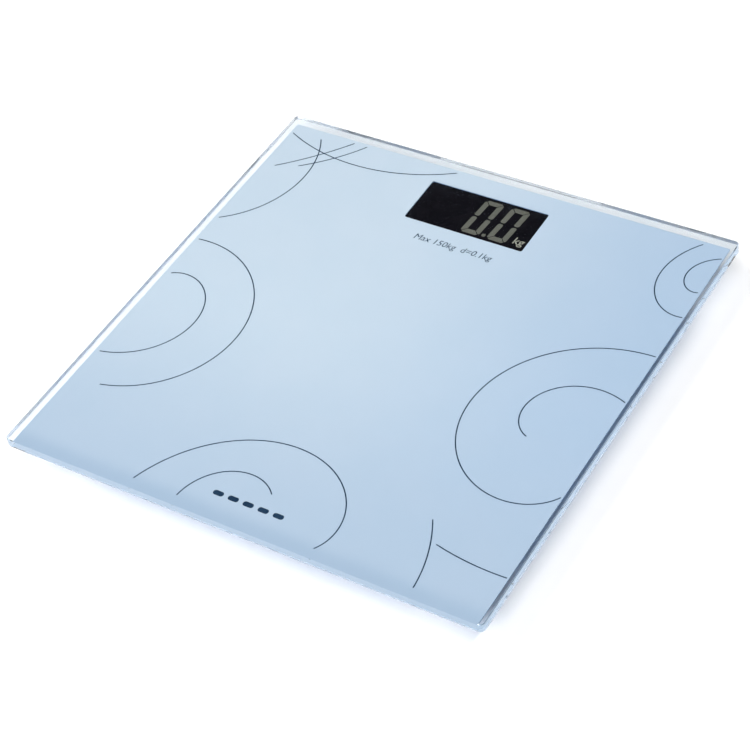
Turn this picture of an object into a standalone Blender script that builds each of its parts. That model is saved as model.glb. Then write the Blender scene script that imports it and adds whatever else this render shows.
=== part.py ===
"""Electronic glass bathroom scale: a toughened glass platform on four load-cell feet, with a flat
electronics box glued under its display window. Metres, +Z up. The origin is on the floor, under the
middle of the glass. The reader stands at -Y, and the display is near the +Y edge."""

import math

import bmesh
import bpy
from mathutils import Matrix, Vector

MM = 0.001
GAP = 0.3 * MM  # between pieces that touch

# Glass platform
GLASS_SIZE = 300 * MM
GLASS_THICKNESS = 6 * MM
GLASS_BOTTOM = 16.5 * MM
GLASS_CORNER = 3 * MM
GLASS_CHAMFER = 0.4 * MM

# Printed coat under the glass: the clear margins left round it, and its display window
PRINT_THICKNESS = 0.3 * MM
PRINT_MARGIN_LEFT = 3.6 * MM
PRINT_MARGIN_RIGHT = 4.0 * MM
PRINT_MARGIN_FRONT = 2.2 * MM
PRINT_MARGIN_BACK = 4.7 * MM
PRINT_CORNER = 0.5 * MM
WINDOW_WIDTH = 78.5 * MM
WINDOW_DEPTH = 34.4 * MM
WINDOW_X = -1.0 * MM
WINDOW_Y = 114.1 * MM
WINDOW_CORNER = 1.2 * MM
PRINT_BOTTOM = GLASS_BOTTOM - GAP - PRINT_THICKNESS

# Sensor feet, one near each corner
FOOT_INSET = 36 * MM
FOOT_OFFSET = GLASS_SIZE / 2 - FOOT_INSET
CORNERS = {
    "front_left": (-1, -1),
    "front_right": (1, -1),
    "back_left": (-1, 1),
    "back_right": (1, 1),
}
ADHESIVE_RADIUS = 22 * MM
ADHESIVE_THICKNESS = 0.8 * MM
BRACKET_TOP = PRINT_BOTTOM - GAP - ADHESIVE_THICKNESS - GAP
BRACKET_BOTTOM = 7.0 * MM
BRACKET_RADIUS = 24 * MM
BRACKET_WALL = 1.8 * MM
BRACKET_ROOF = 1.6 * MM
SEAT_HEIGHT = 0.9 * MM
SEAT_RADII = (11.0 * MM, 13.5 * MM)
CELL_SIZE = 28 * MM
CELL_THICKNESS = 1.5 * MM
CELL_CORNER = 3 * MM
CELL_TOP = BRACKET_TOP - BRACKET_ROOF - SEAT_HEIGHT - GAP
CELL_BOTTOM = CELL_TOP - CELL_THICKNESS
TONGUE_HALF_WIDTH = 5 * MM
TONGUE_FREE_END = -7.5 * MM
TONGUE_ROOT = 8.0 * MM
TONGUE_SLOT = 1.8 * MM
BUMP_RADIUS = 2.6 * MM
BUMP_HEIGHT = 0.6 * MM
GEL_SIZE = (8.6 * MM, 3.6 * MM, 0.6 * MM)
GEL_Y = 6.4 * MM
FOOT_RADIUS = 23 * MM
FOOT_UNDERSIDE = 1.2 * MM
FOOT_FLANGE_TOP = 4.0 * MM
SKIRT_RADII = (20.0 * MM, 21.6 * MM)
SKIRT_TOP = 8.2 * MM
BOSS_RADIUS = 4.0 * MM
BOSS_TOP = CELL_BOTTOM - BUMP_HEIGHT - GAP
PAD_RADIUS = 18.2 * MM
PAD_TOP = 2.0 * MM
PAD_GROOVES = (8.0 * MM, 13.0 * MM)
PAD_GROOVE_WIDTH = 1.2 * MM
PAD_GROOVE_DEPTH = 0.6 * MM

# Leads from the load cells to the electronics box
LEAD_RADIUS = 0.8 * MM
LEAD_HEIGHT = PRINT_BOTTOM - GAP - LEAD_RADIUS
LEAD_BRACKET_HEIGHT = 11.0 * MM
LEAD_BOX_HEIGHT = 11.5 * MM
LEAD_NOTCH = 3.2 * MM
LEAD_HOLE_RADIUS = 1.3 * MM
LEAD_STEP = 5.0 * MM
FRONT_LEAD_Y = 104 * MM
BACK_LEAD_Y = 122 * MM
LEAD_END_X = 49.6 * MM
TAPE_WIDTH = 15 * MM
TAPE_LENGTH = 8 * MM
TAPE_THICKNESS = 0.25 * MM

# Electronics box
TRAY_WIDTH = 110 * MM
TRAY_FRONT = 62 * MM
TRAY_BACK = 138 * MM
TRAY_BOTTOM = 3.2 * MM
TRAY_WALL = 1.5 * MM
TRAY_CORNER = 3 * MM
TRAY_RIM = 0.8 * MM
FLANGE_REACH = 4 * MM
FLANGE_THICKNESS = 1.4 * MM
TAPE_FRAME_THICKNESS = 0.6 * MM
TRAY_TOP = PRINT_BOTTOM - GAP - TAPE_FRAME_THICKNESS - GAP
TRAY_FLOOR = TRAY_BOTTOM + TRAY_WALL
TRAY_Y = (TRAY_FRONT + TRAY_BACK) / 2
TRAY_DEPTH = TRAY_BACK - TRAY_FRONT

# Battery bay, at the front of the box
BAY_HALF_WIDTH = 25.6 * MM
BAY_BACK = 90.2 * MM
RIB_THICKNESS = 1.5 * MM
RIB_TOP = 13.5 * MM
DOOR_FRONT = 65.2 * MM
DOOR_BACK = 89.4 * MM
DOOR_HALF_WIDTH = BAY_HALF_WIDTH - 0.7 * MM
DOOR_TOP = TRAY_FLOOR
HINGE_Y = 91.8 * MM
HINGE_Z = 4.6 * MM
HINGE_PIN_RADIUS = 0.75 * MM
HINGE_HOLE_RADIUS = 1.0 * MM
KNUCKLE_RADIUS = 1.9 * MM
KNUCKLE_WIDTH = 6 * MM
KNUCKLE_X = 16 * MM
HINGE_BLOCK_BACK = 94.2 * MM
HINGE_BLOCK_TOP = 7.0 * MM
BATTERY_RADIUS = 5.25 * MM
BATTERY_LENGTH = 44.5 * MM
BATTERY_Z = 10.3 * MM
BATTERY_Y = (71.4 * MM, 82.8 * MM)
NUB_RADIUS = 1.9 * MM
NUB_LENGTH = 0.8 * MM
PLATE_THICKNESS = 0.5 * MM
PLATE_HEIGHTS = (5.6 * MM, 14.6 * MM)
PLATE_WIDTH = 9 * MM
PLATE_FACE = BAY_HALF_WIDTH - GAP - PLATE_THICKNESS
SPRING_RADII = (3.6 * MM, 2.4 * MM)
SPRING_WIRE_RADIUS = 0.3 * MM
SPRING_TURNS = 3.5
SPRING_STEPS = 10
BATTERY_LEAD_RADIUS = 0.5 * MM

# Display and circuit board, at the back of the box
BOARD_WIDTH = 102 * MM
BOARD_FRONT = 95.0 * MM
BOARD_BACK = 136.0 * MM
BOARD_BOTTOM = 8.4 * MM
BOARD_TOP = 10.0 * MM
BOARD_CORNER = 1.5 * MM
BOARD_SCREWS = ((-47.5 * MM, 98.5 * MM), (47.5 * MM, 132.5 * MM))
BOARD_POSTS = ((47.5 * MM, 98.5 * MM), (-47.5 * MM, 132.5 * MM))
POST_RADIUS = 2.3 * MM
SCREW_RADIUS = 0.9 * MM
SCREW_HOLE_RADIUS = 1.25 * MM
SCREW_HEAD_RADIUS = 2.0 * MM
SCREW_HEAD_HEIGHT = 1.4 * MM
SCREW_TIP = 5.6 * MM
FRAME_WIDTH = 88 * MM
FRAME_DEPTH = 41 * MM
FRAME_BOTTOM = BOARD_TOP + GAP
FRAME_TOP = PRINT_BOTTOM - 0.4 * MM
LEDGE_HEIGHT = 12.9 * MM
PANEL_WIDTH = 84.4 * MM
PANEL_DEPTH = 37.8 * MM
BACKLIGHT_WIDTH = 81.0 * MM
BACKLIGHT_DEPTH = 32.0 * MM
BACKLIGHT_Y = WINDOW_Y - 1.7 * MM
STRIP_WIDTH = 70 * MM
STRIP_DEPTH = 1.8 * MM
STRIP_Y = WINDOW_Y + 16.4 * MM
CHIP_X = -12 * MM
CHIP_RADIUS = 6 * MM
CHIP_HEIGHT = 1.8 * MM
BUTTON_X = 40 * MM
BUTTON_Y = 112 * MM
BUTTON_RADIUS = 3.2 * MM
BUTTON_HOLE_RADIUS = 3.5 * MM
BUTTON_FLANGE_RADIUS = 4.6 * MM
BUTTON_UNDERSIDE = 3.0 * MM
BUTTON_TOP = 5.8 * MM
SWITCH_SIZE = 6 * MM
SWITCH_BOTTOM = 6.4 * MM
PLUNGER_RADIUS = 1.75 * MM
PLUNGER_HOLE_RADIUS = 2.05 * MM
PLUNGER_HEIGHTS = (6.1 * MM, 7.1 * MM)
PLUNGER_HOLE_TOP = 7.7 * MM

ROUND_STEPS = 24
SMALL_STEPS = 12
MERGE = 0.00001
SHARP_ANGLE = math.radians(35)


# ---------------------------------------------------------------- scene and materials


def clear_scene():
    for obj in list(bpy.data.objects):
        bpy.data.objects.remove(obj)
    for kind in (bpy.data.meshes, bpy.data.curves, bpy.data.materials, bpy.data.collections):
        for item in list(kind):
            kind.remove(item)


def new_collection(name):
    collection = bpy.data.collections.new(name)
    bpy.context.scene.collection.children.link(collection)
    return collection


def new_material(name, colour, roughness, metallic=0.0):
    paint = bpy.data.materials.new(name)
    paint.use_nodes = True
    shader = paint.node_tree.nodes["Principled BSDF"]
    shader.inputs["Base Color"].default_value = (*colour, 1.0)
    shader.inputs["Roughness"].default_value = roughness
    shader.inputs["Metallic"].default_value = metallic
    paint.diffuse_color = (*colour, 1.0)
    return paint


clear_scene()
PARTS = new_collection("glass_bathroom_scale")
CUTTERS = new_collection("cutters")

GLASS = new_material("tempered_glass", (0.80, 0.89, 0.90), 0.03)
PRINT = new_material("silver_blue_print", (0.52, 0.68, 0.84), 0.45)
FOAM = new_material("white_foam_tape", (0.85, 0.85, 0.83), 0.9)
BRACKET = new_material("white_plastic", (0.78, 0.79, 0.80), 0.45)
FOOT = new_material("grey_plastic", (0.45, 0.47, 0.50), 0.5)
RUBBER = new_material("grey_rubber", (0.10, 0.10, 0.11), 0.85)
STEEL = new_material("spring_steel", (0.62, 0.62, 0.64), 0.3, 1.0)
GEL = new_material("white_silicone", (0.88, 0.88, 0.86), 0.35)
LEAD = new_material("grey_lead", (0.16, 0.16, 0.17), 0.5)
TAPE = new_material("clear_tape", (0.72, 0.74, 0.74), 0.3)
BOARD = new_material("green_board", (0.03, 0.22, 0.10), 0.4)
RESIN = new_material("black_resin", (0.02, 0.02, 0.02), 0.25)
DISPLAY = new_material("dark_display", (0.012, 0.012, 0.014), 0.1)
DIFFUSER = new_material("milky_acrylic", (0.9, 0.9, 0.88), 0.3)
STRIP = new_material("contact_rubber", (0.75, 0.35, 0.45), 0.6)
SWITCH = new_material("black_plastic", (0.03, 0.03, 0.03), 0.4)
BUTTON = new_material("blue_button", (0.10, 0.22, 0.42), 0.4)
SLEEVE = new_material("battery_sleeve", (0.08, 0.20, 0.45), 0.3)
NICKEL = new_material("nickel_plate", (0.72, 0.70, 0.66), 0.25, 1.0)
RED_LEAD = new_material("red_lead", (0.55, 0.03, 0.03), 0.45)
BLACK_LEAD = new_material("black_lead", (0.02, 0.02, 0.02), 0.45)


# ---------------------------------------------------------------- shapes


def add_object(name, data, paint, location=(0, 0, 0)):
    """Links a part when it has a material, and a hidden cutter when it has none."""
    obj = bpy.data.objects.new(name, data)
    obj.location = location
    if paint is None:
        CUTTERS.objects.link(obj)
        obj.hide_render = True
        obj.display_type = "WIRE"
        return obj
    PARTS.objects.link(obj)
    data.materials.append(paint)
    return obj


def mesh_from(bm, name):
    bmesh.ops.recalc_face_normals(bm, faces=bm.faces)
    mesh = bpy.data.meshes.new(name)
    bm.to_mesh(mesh)
    bm.free()
    mesh.shade_smooth()
    mesh.set_sharp_from_angle(angle=SHARP_ANGLE)
    return mesh


def plate(name, paint, size, heights, centre=(0, 0), corner=0.0, rim=0.0, segments=4):
    """A flat plate with rounded corners, between two heights, with its rims chamfered."""
    bottom, top = heights
    bm = bmesh.new()
    scale = Matrix.Diagonal((size[0], size[1], top - bottom, 1))
    shift = Matrix.Translation((0, 0, (top + bottom) / 2))
    bmesh.ops.create_cube(bm, size=1.0, matrix=shift @ scale)
    if corner:
        upright = [e for e in bm.edges if abs(e.verts[0].co.z - e.verts[1].co.z) > MERGE]
        bmesh.ops.bevel(
            bm, geom=upright, offset=corner, segments=segments, profile=0.5, affect="EDGES"
        )
    obj = add_object(name, mesh_from(bm, name), paint, (centre[0], centre[1], 0))
    if rim:
        chamfer = obj.modifiers.new("rim", "BEVEL")
        chamfer.width = rim
        chamfer.segments = 1
        chamfer.limit_method = "ANGLE"
        chamfer.angle_limit = math.radians(60)
    return obj


def turned(name, paint, profile, centre=(0, 0), steps=ROUND_STEPS):
    """A solid turned about a vertical axis. Its profile of (radius, height) runs from the axis at
    the top, down the outer side, to the axis at the bottom."""
    mesh = bpy.data.meshes.new(name)
    points = [(radius, 0, height) for radius, height in profile]
    mesh.from_pydata(points, [(i, i + 1) for i in range(len(points) - 1)], [])
    obj = add_object(name, mesh, paint, (centre[0], centre[1], 0))
    screw = obj.modifiers.new("turn", "SCREW")
    screw.axis = "Z"
    screw.steps = steps
    screw.render_steps = steps
    screw.use_merge_vertices = True
    screw.merge_threshold = MERGE
    screw.use_smooth_shade = False
    return obj


def rod(name, paint, radius, ends, centre, axis="Z", steps=SMALL_STEPS):
    """A cylinder along Z or X, between two positions on that axis."""
    low, high = ends
    bm = bmesh.new()
    turn = Matrix.Rotation(math.pi / 2, 4, "Y") if axis == "X" else Matrix.Identity(4)
    shift = Matrix.Translation((0, 0, (low + high) / 2))
    bmesh.ops.create_cone(
        bm,
        cap_ends=True,
        segments=steps,
        radius1=radius,
        radius2=radius,
        depth=high - low,
        matrix=turn @ shift,
    )
    return add_object(name, mesh_from(bm, name), paint, centre)


def boolean(target, tool, operation):
    modifier = target.modifiers.new(tool.name, "BOOLEAN")
    modifier.operation = operation
    modifier.object = tool
    modifier.solver = "EXACT"


def cut(target, *tools):
    for tool in tools:
        boolean(target, tool, "DIFFERENCE")


def join(target, *tools):
    for tool in tools:
        boolean(target, tool, "UNION")


def box_cutter(name, low, high):
    """A hidden box between two corners."""
    centre = [(a + b) / 2 for a, b in zip(low, high)]
    size = [b - a for a, b in zip(low, high)]
    bm = bmesh.new()
    bmesh.ops.create_cube(bm, size=1.0, matrix=Matrix.Diagonal((*size, 1)))
    return add_object(name, mesh_from(bm, name), None, centre)


def smooth_route(points, step):
    """Points about a step apart on a Catmull-Rom curve through the given ones."""
    stops = [Vector(p) for p in points]
    stops = [2 * stops[0] - stops[1], *stops, 2 * stops[-1] - stops[-2]]
    route = [stops[1]]
    for a, b, c, d in zip(stops, stops[1:], stops[2:], stops[3:]):
        count = max(2, round((c - b).length / step))
        for i in range(1, count + 1):
            t = i / count
            route.append(
                0.5
                * (
                    2 * b
                    + (c - a) * t
                    + (2 * a - 5 * b + 4 * c - d) * t**2
                    + (3 * b - a - 3 * c + d) * t**3
                )
            )
    return route


def wire(name, paint, route, radius):
    """A round wire with closed ends along a list of points."""
    curve = bpy.data.curves.new(name, "CURVE")
    curve.dimensions = "3D"
    curve.bevel_depth = radius
    curve.bevel_resolution = 2
    curve.use_fill_caps = True
    spline = curve.splines.new("POLY")
    spline.points.add(len(route) - 1)
    for point, place in zip(spline.points, route):
        point.co = (*place, 1.0)
    return add_object(name, curve, paint)


def axis_empty(name, location):
    """An empty on a moving piece's joint axis."""
    empty = bpy.data.objects.new(name, None)
    empty.location = location
    empty.empty_display_size = 5 * MM
    PARTS.objects.link(empty)
    return empty


def attach(child, empty):
    child.parent = empty
    child.matrix_parent_inverse = Matrix.Translation(empty.location).inverted()


# ---------------------------------------------------------------- platform


def glass_platform():
    plate(
        "glass_platform",
        GLASS,
        (GLASS_SIZE, GLASS_SIZE),
        (GLASS_BOTTOM, GLASS_BOTTOM + GLASS_THICKNESS),
        corner=GLASS_CORNER,
        rim=GLASS_CHAMFER,
        segments=8,
    )


def back_print():
    """The printed coat, made as a thin sheet of its own just below the glass."""
    width = GLASS_SIZE - PRINT_MARGIN_LEFT - PRINT_MARGIN_RIGHT
    depth = GLASS_SIZE - PRINT_MARGIN_FRONT - PRINT_MARGIN_BACK
    centre = (
        (PRINT_MARGIN_LEFT - PRINT_MARGIN_RIGHT) / 2,
        (PRINT_MARGIN_FRONT - PRINT_MARGIN_BACK) / 2,
    )
    heights = (PRINT_BOTTOM, PRINT_BOTTOM + PRINT_THICKNESS)
    sheet = plate("back_print", PRINT, (width, depth), heights, centre, PRINT_CORNER)
    window = plate(
        "window_cutter",
        None,
        (WINDOW_WIDTH, WINDOW_DEPTH),
        (PRINT_BOTTOM - MM, GLASS_BOTTOM),
        (WINDOW_X, WINDOW_Y),
        WINDOW_CORNER,
    )
    cut(sheet, window)


# ---------------------------------------------------------------- sensor feet


def sensor_adhesive(corner, centre):
    bottom = BRACKET_TOP + GAP
    rod(
        "sensor_adhesive_" + corner,
        FOAM,
        ADHESIVE_RADIUS,
        (bottom, bottom + ADHESIVE_THICKNESS),
        (*centre, 0),
        steps=ROUND_STEPS,
    )


def sensor_bracket(corner, centre, lead_direction):
    """A cup open downwards, with a ring inside that the load cell's frame bears on."""
    roof = BRACKET_TOP - BRACKET_ROOF
    inner = BRACKET_RADIUS - BRACKET_WALL
    chamfer = 0.5 * MM
    cup = turned(
        "sensor_bracket_" + corner,
        BRACKET,
        [
            (0, BRACKET_TOP),
            (BRACKET_RADIUS - chamfer, BRACKET_TOP),
            (BRACKET_RADIUS, BRACKET_TOP - chamfer),
            (BRACKET_RADIUS, BRACKET_BOTTOM + chamfer),
            (BRACKET_RADIUS - chamfer, BRACKET_BOTTOM),
            (inner, BRACKET_BOTTOM),
            (inner, roof),
            (SEAT_RADII[1], roof),
            (SEAT_RADII[1], roof - SEAT_HEIGHT),
            (SEAT_RADII[0], roof - SEAT_HEIGHT),
            (SEAT_RADII[0], roof),
            (0, roof),
        ],
        centre,
    )
    wall = Vector(centre) + Vector(lead_direction) * (BRACKET_RADIUS - BRACKET_WALL / 2)
    reach = Vector((LEAD_NOTCH / 2, LEAD_NOTCH / 2, LEAD_NOTCH / 2))
    reach += Vector((abs(lead_direction[0]), abs(lead_direction[1]), 0)) * MM
    middle = Vector((*wall, LEAD_BRACKET_HEIGHT))
    cut(cup, box_cutter("lead_notch_" + corner, middle - reach, middle + reach))


def outline_curve(name, outlines, thickness):
    """A flat sheet with holes, from closed outlines of (x, y) points, as a mesh about z = 0."""
    curve = bpy.data.curves.new(name, "CURVE")
    curve.dimensions = "2D"
    curve.fill_mode = "BOTH"
    curve.extrude = thickness / 2
    for outline in outlines:
        spline = curve.splines.new("POLY")
        spline.points.add(len(outline) - 1)
        spline.use_cyclic_u = True
        for point, place in zip(spline.points, outline):
            point.co = (*place, 0.0, 1.0)
    maker = bpy.data.objects.new(name, curve)
    bpy.context.scene.collection.objects.link(maker)
    bpy.context.view_layer.update()
    mesh = bpy.data.meshes.new_from_object(maker.evaluated_get(bpy.context.evaluated_depsgraph_get()))
    bpy.data.objects.remove(maker)
    bpy.data.curves.remove(curve)
    bm = bmesh.new()
    bm.from_mesh(mesh)
    bpy.data.meshes.remove(mesh)
    bmesh.ops.remove_doubles(bm, verts=bm.verts, dist=MERGE)
    return mesh_from(bm, name)


def rounded_square(half, radius, segments=4):
    """The outline of a square with rounded corners, anticlockwise."""
    points = []
    for quarter in range(4):
        turn = Matrix.Rotation(quarter * math.pi / 2, 2)
        for i in range(segments + 1):
            angle = i * math.pi / 2 / segments
            arc = Vector((math.cos(angle), math.sin(angle))) * radius
            points.append(turn @ (arc + Vector((half - radius, half - radius))))
    return points


def tongue_slot():
    """The U-shaped slot that frees the load cell's middle tongue on three sides."""
    inner = TONGUE_HALF_WIDTH
    outer = inner + TONGUE_SLOT
    return [
        (-outer, TONGUE_ROOT),
        (-outer, TONGUE_FREE_END - TONGUE_SLOT),
        (outer, TONGUE_FREE_END - TONGUE_SLOT),
        (outer, TONGUE_ROOT),
        (inner, TONGUE_ROOT),
        (inner, TONGUE_FREE_END),
        (-inner, TONGUE_FREE_END),
        (-inner, TONGUE_ROOT),
    ]


def load_cell_mesh():
    outlines = [rounded_square(CELL_SIZE / 2, CELL_CORNER), tongue_slot()]
    mesh = outline_curve("load_cell", outlines, CELL_THICKNESS)
    mesh.transform(Matrix.Translation((0, 0, (CELL_TOP + CELL_BOTTOM) / 2)))
    return mesh


def load_cell(corner, centre, mesh):
    """The sprung steel plate, with the bump on its tongue that the foot's boss pushes on."""
    cell = add_object("load_cell_" + corner, mesh.copy(), STEEL, (*centre, 0))
    bump = rod(
        "load_cell_bump_" + corner,
        None,
        BUMP_RADIUS,
        (CELL_BOTTOM - BUMP_HEIGHT, CELL_BOTTOM + BUMP_HEIGHT),
        (*centre, 0),
    )
    join(cell, bump)


def gauge_gel(corner, centre):
    top = CELL_BOTTOM - GAP
    plate(
        "gauge_gel_" + corner,
        GEL,
        GEL_SIZE[:2],
        (top - GEL_SIZE[2], top),
        (centre[0], centre[1] + GEL_Y),
        1.5 * MM,
        0.25 * MM,
    )


def foot_cup(corner, centre):
    """The moulded foot: a flange with a recess for the pad, a skirt that slides inside the bracket
    and a boss in the middle that pushes on the load cell."""
    edge = 0.6 * MM
    recess_radius = PAD_RADIUS + 0.4 * MM
    recess_top = PAD_TOP + GAP
    return turned(
        "foot_cup_" + corner,
        FOOT,
        [
            (0, BOSS_TOP),
            (BOSS_RADIUS - edge / 2, BOSS_TOP),
            (BOSS_RADIUS, BOSS_TOP - edge / 2),
            (BOSS_RADIUS + edge, FOOT_FLANGE_TOP),
            (SKIRT_RADII[0], FOOT_FLANGE_TOP),
            (SKIRT_RADII[0], SKIRT_TOP),
            (SKIRT_RADII[1], SKIRT_TOP),
            (SKIRT_RADII[1], FOOT_FLANGE_TOP),
            (FOOT_RADIUS - edge, FOOT_FLANGE_TOP),
            (FOOT_RADIUS, FOOT_FLANGE_TOP - edge),
            (FOOT_RADIUS, FOOT_UNDERSIDE + edge),
            (FOOT_RADIUS - edge, FOOT_UNDERSIDE),
            (recess_radius, FOOT_UNDERSIDE),
            (recess_radius, recess_top),
            (0, recess_top),
        ],
        centre,
    )


def foot_pad(corner, centre):
    """The rubber pad that stands on the floor, with ring grooves in its underside."""
    edge = 0.4 * MM
    profile = [(0, PAD_TOP), (PAD_RADIUS, PAD_TOP), (PAD_RADIUS, edge), (PAD_RADIUS - edge, 0)]
    for radius in reversed(PAD_GROOVES):
        outer = radius + PAD_GROOVE_WIDTH / 2
        inner = radius - PAD_GROOVE_WIDTH / 2
        profile += [
            (outer, 0),
            (outer, PAD_GROOVE_DEPTH),
            (inner, PAD_GROOVE_DEPTH),
            (inner, 0),
        ]
    profile.append((0, 0))
    return turned("foot_pad_" + corner, RUBBER, profile, centre)


def lead_route(side_x, side_y):
    """A lead's route from beside its load cell, up to the glass, and down into the box's side."""
    foot = Vector((side_x, side_y)) * FOOT_OFFSET
    start = CELL_SIZE / 2 + GAP + LEAD_RADIUS
    wall_x = TRAY_WIDTH / 2 + FLANGE_REACH
    low, high, box = LEAD_BRACKET_HEIGHT, LEAD_HEIGHT, LEAD_BOX_HEIGHT
    if side_y < 0:
        x = side_x * FOOT_OFFSET
        ends = FRONT_LEAD_Y
        route = [
            (x, foot.y + start, low),
            (x, foot.y + BRACKET_RADIUS + 2 * MM, low),
            (x, foot.y + BRACKET_RADIUS + 12 * MM, high),
            (x, -30 * MM, high),
            (x - side_x * 3 * MM, 30 * MM, high),
            (x - side_x * 12 * MM, 76 * MM, high),
            (x - side_x * 30 * MM, ends - 4 * MM, high),
        ]
    else:
        ends = BACK_LEAD_Y
        route = [
            (side_x * (FOOT_OFFSET - start), foot.y, low),
            (side_x * (FOOT_OFFSET - BRACKET_RADIUS - 2 * MM), foot.y, low),
            (side_x * (FOOT_OFFSET - BRACKET_RADIUS - 8 * MM), foot.y + 1 * MM, high),
            (side_x * (wall_x + 9 * MM), ends - 2 * MM, high),
        ]
    route += [
        (side_x * (wall_x + 3 * MM), ends, box),
        (side_x * (wall_x - 4 * MM), ends, box),
        (side_x * LEAD_END_X, ends, box),
    ]
    return [Vector((*p.xy, min(p.z, high))) for p in smooth_route(route, LEAD_STEP)]


def lead_tape(corner, place, heading):
    """A strip of tape over a lead: flat on the coat on both sides, arched over the lead."""
    top = PRINT_BOTTOM - GAP
    arch = LEAD_RADIUS + 1.3 * GAP
    section = [(-TAPE_WIDTH / 2, top), (-arch - MM, top)]
    for i in range(5):
        angle = math.pi * i / 4
        section.append((-arch * math.cos(angle), LEAD_HEIGHT - arch * math.sin(angle)))
    section += [(arch + MM, top), (TAPE_WIDTH / 2, top)]
    bm = bmesh.new()
    rows = []
    for y in (-TAPE_LENGTH / 2, TAPE_LENGTH / 2):
        rows.append([bm.verts.new((x, y, z)) for x, z in section])
    for a, b, c, d in zip(rows[0], rows[0][1:], rows[1][1:], rows[1]):
        bm.faces.new((a, b, c, d))
    mesh = bpy.data.meshes.new("lead_tape")
    bm.to_mesh(mesh)
    bm.free()
    tape = add_object("lead_tape_" + corner, mesh, TAPE, (place.x, place.y, 0))
    tape.rotation_euler.z = heading
    solid = tape.modifiers.new("thickness", "SOLIDIFY")
    solid.thickness = TAPE_THICKNESS
    solid.offset = -1.0


def sensor_lead(corner, sides):
    route = lead_route(*sides)
    wire("sensor_lead_" + corner, LEAD, route, LEAD_RADIUS)
    level = [point for point in route if point.z > LEAD_HEIGHT - 0.1 * LEAD_RADIUS]
    middle = level[len(level) // 2]
    ahead = level[len(level) // 2 + 1] - level[len(level) // 2 - 1]
    lead_tape(corner, middle, math.atan2(-ahead.x, ahead.y))


def sensor_feet():
    cell_mesh = load_cell_mesh()
    for corner, sides in CORNERS.items():
        centre = (sides[0] * FOOT_OFFSET, sides[1] * FOOT_OFFSET)
        lead_direction = (0, 1) if sides[1] < 0 else (-sides[0], 0)
        sensor_adhesive(corner, centre)
        sensor_bracket(corner, centre, lead_direction)
        load_cell(corner, centre, cell_mesh)
        gauge_gel(corner, centre)
        sensor_lead(corner, sides)
        axis = axis_empty("foot_axis_" + corner, (*centre, 0))
        attach(foot_cup(corner, centre), axis)
        attach(foot_pad(corner, centre), axis)
    bpy.data.meshes.remove(cell_mesh)


# ---------------------------------------------------------------- electronics box


def housing_adhesive():
    size = (TRAY_WIDTH + 2 * FLANGE_REACH, TRAY_DEPTH + 2 * FLANGE_REACH)
    bottom = TRAY_TOP + GAP
    heights = (bottom, bottom + TAPE_FRAME_THICKNESS)
    corner = TRAY_CORNER + FLANGE_REACH
    frame = plate("housing_adhesive", FOAM, size, heights, (0, TRAY_Y), corner)
    hole = plate(
        "adhesive_cutter",
        None,
        (TRAY_WIDTH - 2 * TRAY_WALL, TRAY_DEPTH - 2 * TRAY_WALL),
        (bottom - MM, bottom + 2 * MM),
        (0, TRAY_Y),
        TRAY_CORNER - TRAY_WALL,
    )
    cut(frame, hole)


def tray_cavities():
    """The hollows of the tray: battery bay, side pockets, display space and the way over the ribs."""
    inner_x = TRAY_WIDTH / 2 - TRAY_WALL
    front = TRAY_FRONT + TRAY_WALL
    back = TRAY_BACK - TRAY_WALL
    above = TRAY_TOP + MM
    pocket_x = BAY_HALF_WIDTH + RIB_THICKNESS
    bay = BAY_HALF_WIDTH
    return [
        box_cutter("cavity_bay", (-bay, front, TRAY_FLOOR), (bay, BAY_BACK, above)),
        box_cutter(
            "cavity_pocket_left",
            (-inner_x, front, TRAY_FLOOR),
            (-pocket_x, HINGE_BLOCK_BACK, above),
        ),
        box_cutter(
            "cavity_pocket_right",
            (pocket_x, front, TRAY_FLOOR),
            (inner_x, HINGE_BLOCK_BACK, above),
        ),
        box_cutter(
            "cavity_display",
            (-inner_x, HINGE_BLOCK_BACK - MERGE, TRAY_FLOOR),
            (inner_x, back, above),
        ),
        box_cutter(
            "cavity_over_hinge",
            (-pocket_x - MM, BAY_BACK - MERGE, HINGE_BLOCK_TOP),
            (pocket_x + MM, HINGE_BLOCK_BACK + MM, above),
        ),
        box_cutter("cavity_over_ribs", (-inner_x, front, RIB_TOP), (inner_x, back, above)),
    ]


def tray_openings():
    """The battery opening, the slots for the door's knuckles, and the holes for pin, button and
    leads."""
    below = TRAY_BOTTOM - MM
    half = DOOR_HALF_WIDTH + GAP
    tools = [
        box_cutter(
            "battery_opening",
            (-half, DOOR_FRONT - GAP, below),
            (half, BAY_BACK, TRAY_FLOOR + MM),
        )
    ]
    for side in (-1, 1):
        middle = side * KNUCKLE_X
        reach = KNUCKLE_WIDTH / 2 + GAP
        tools.append(
            box_cutter(
                f"knuckle_slot_{'left' if side < 0 else 'right'}",
                (middle - reach, BAY_BACK - MM, below),
                (middle + reach, HINGE_Y + KNUCKLE_RADIUS + GAP, HINGE_BLOCK_TOP + MM),
            )
        )
    reach = BAY_HALF_WIDTH + 2 * RIB_THICKNESS
    tools.append(
        rod("pin_hole", None, HINGE_HOLE_RADIUS, (-reach, reach), (0, HINGE_Y, HINGE_Z), "X")
    )
    tools.append(
        rod(
            "button_hole",
            None,
            BUTTON_HOLE_RADIUS,
            (below, TRAY_FLOOR + MM),
            (BUTTON_X, BUTTON_Y, 0),
            steps=ROUND_STEPS,
        )
    )
    for name, y in (("front", FRONT_LEAD_Y), ("back", BACK_LEAD_Y)):
        tools.append(
            rod(
                f"lead_hole_{name}",
                None,
                LEAD_HOLE_RADIUS,
                (-TRAY_WIDTH, TRAY_WIDTH),
                (0, y, LEAD_BOX_HEIGHT),
                "X",
            )
        )
    return tools


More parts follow.
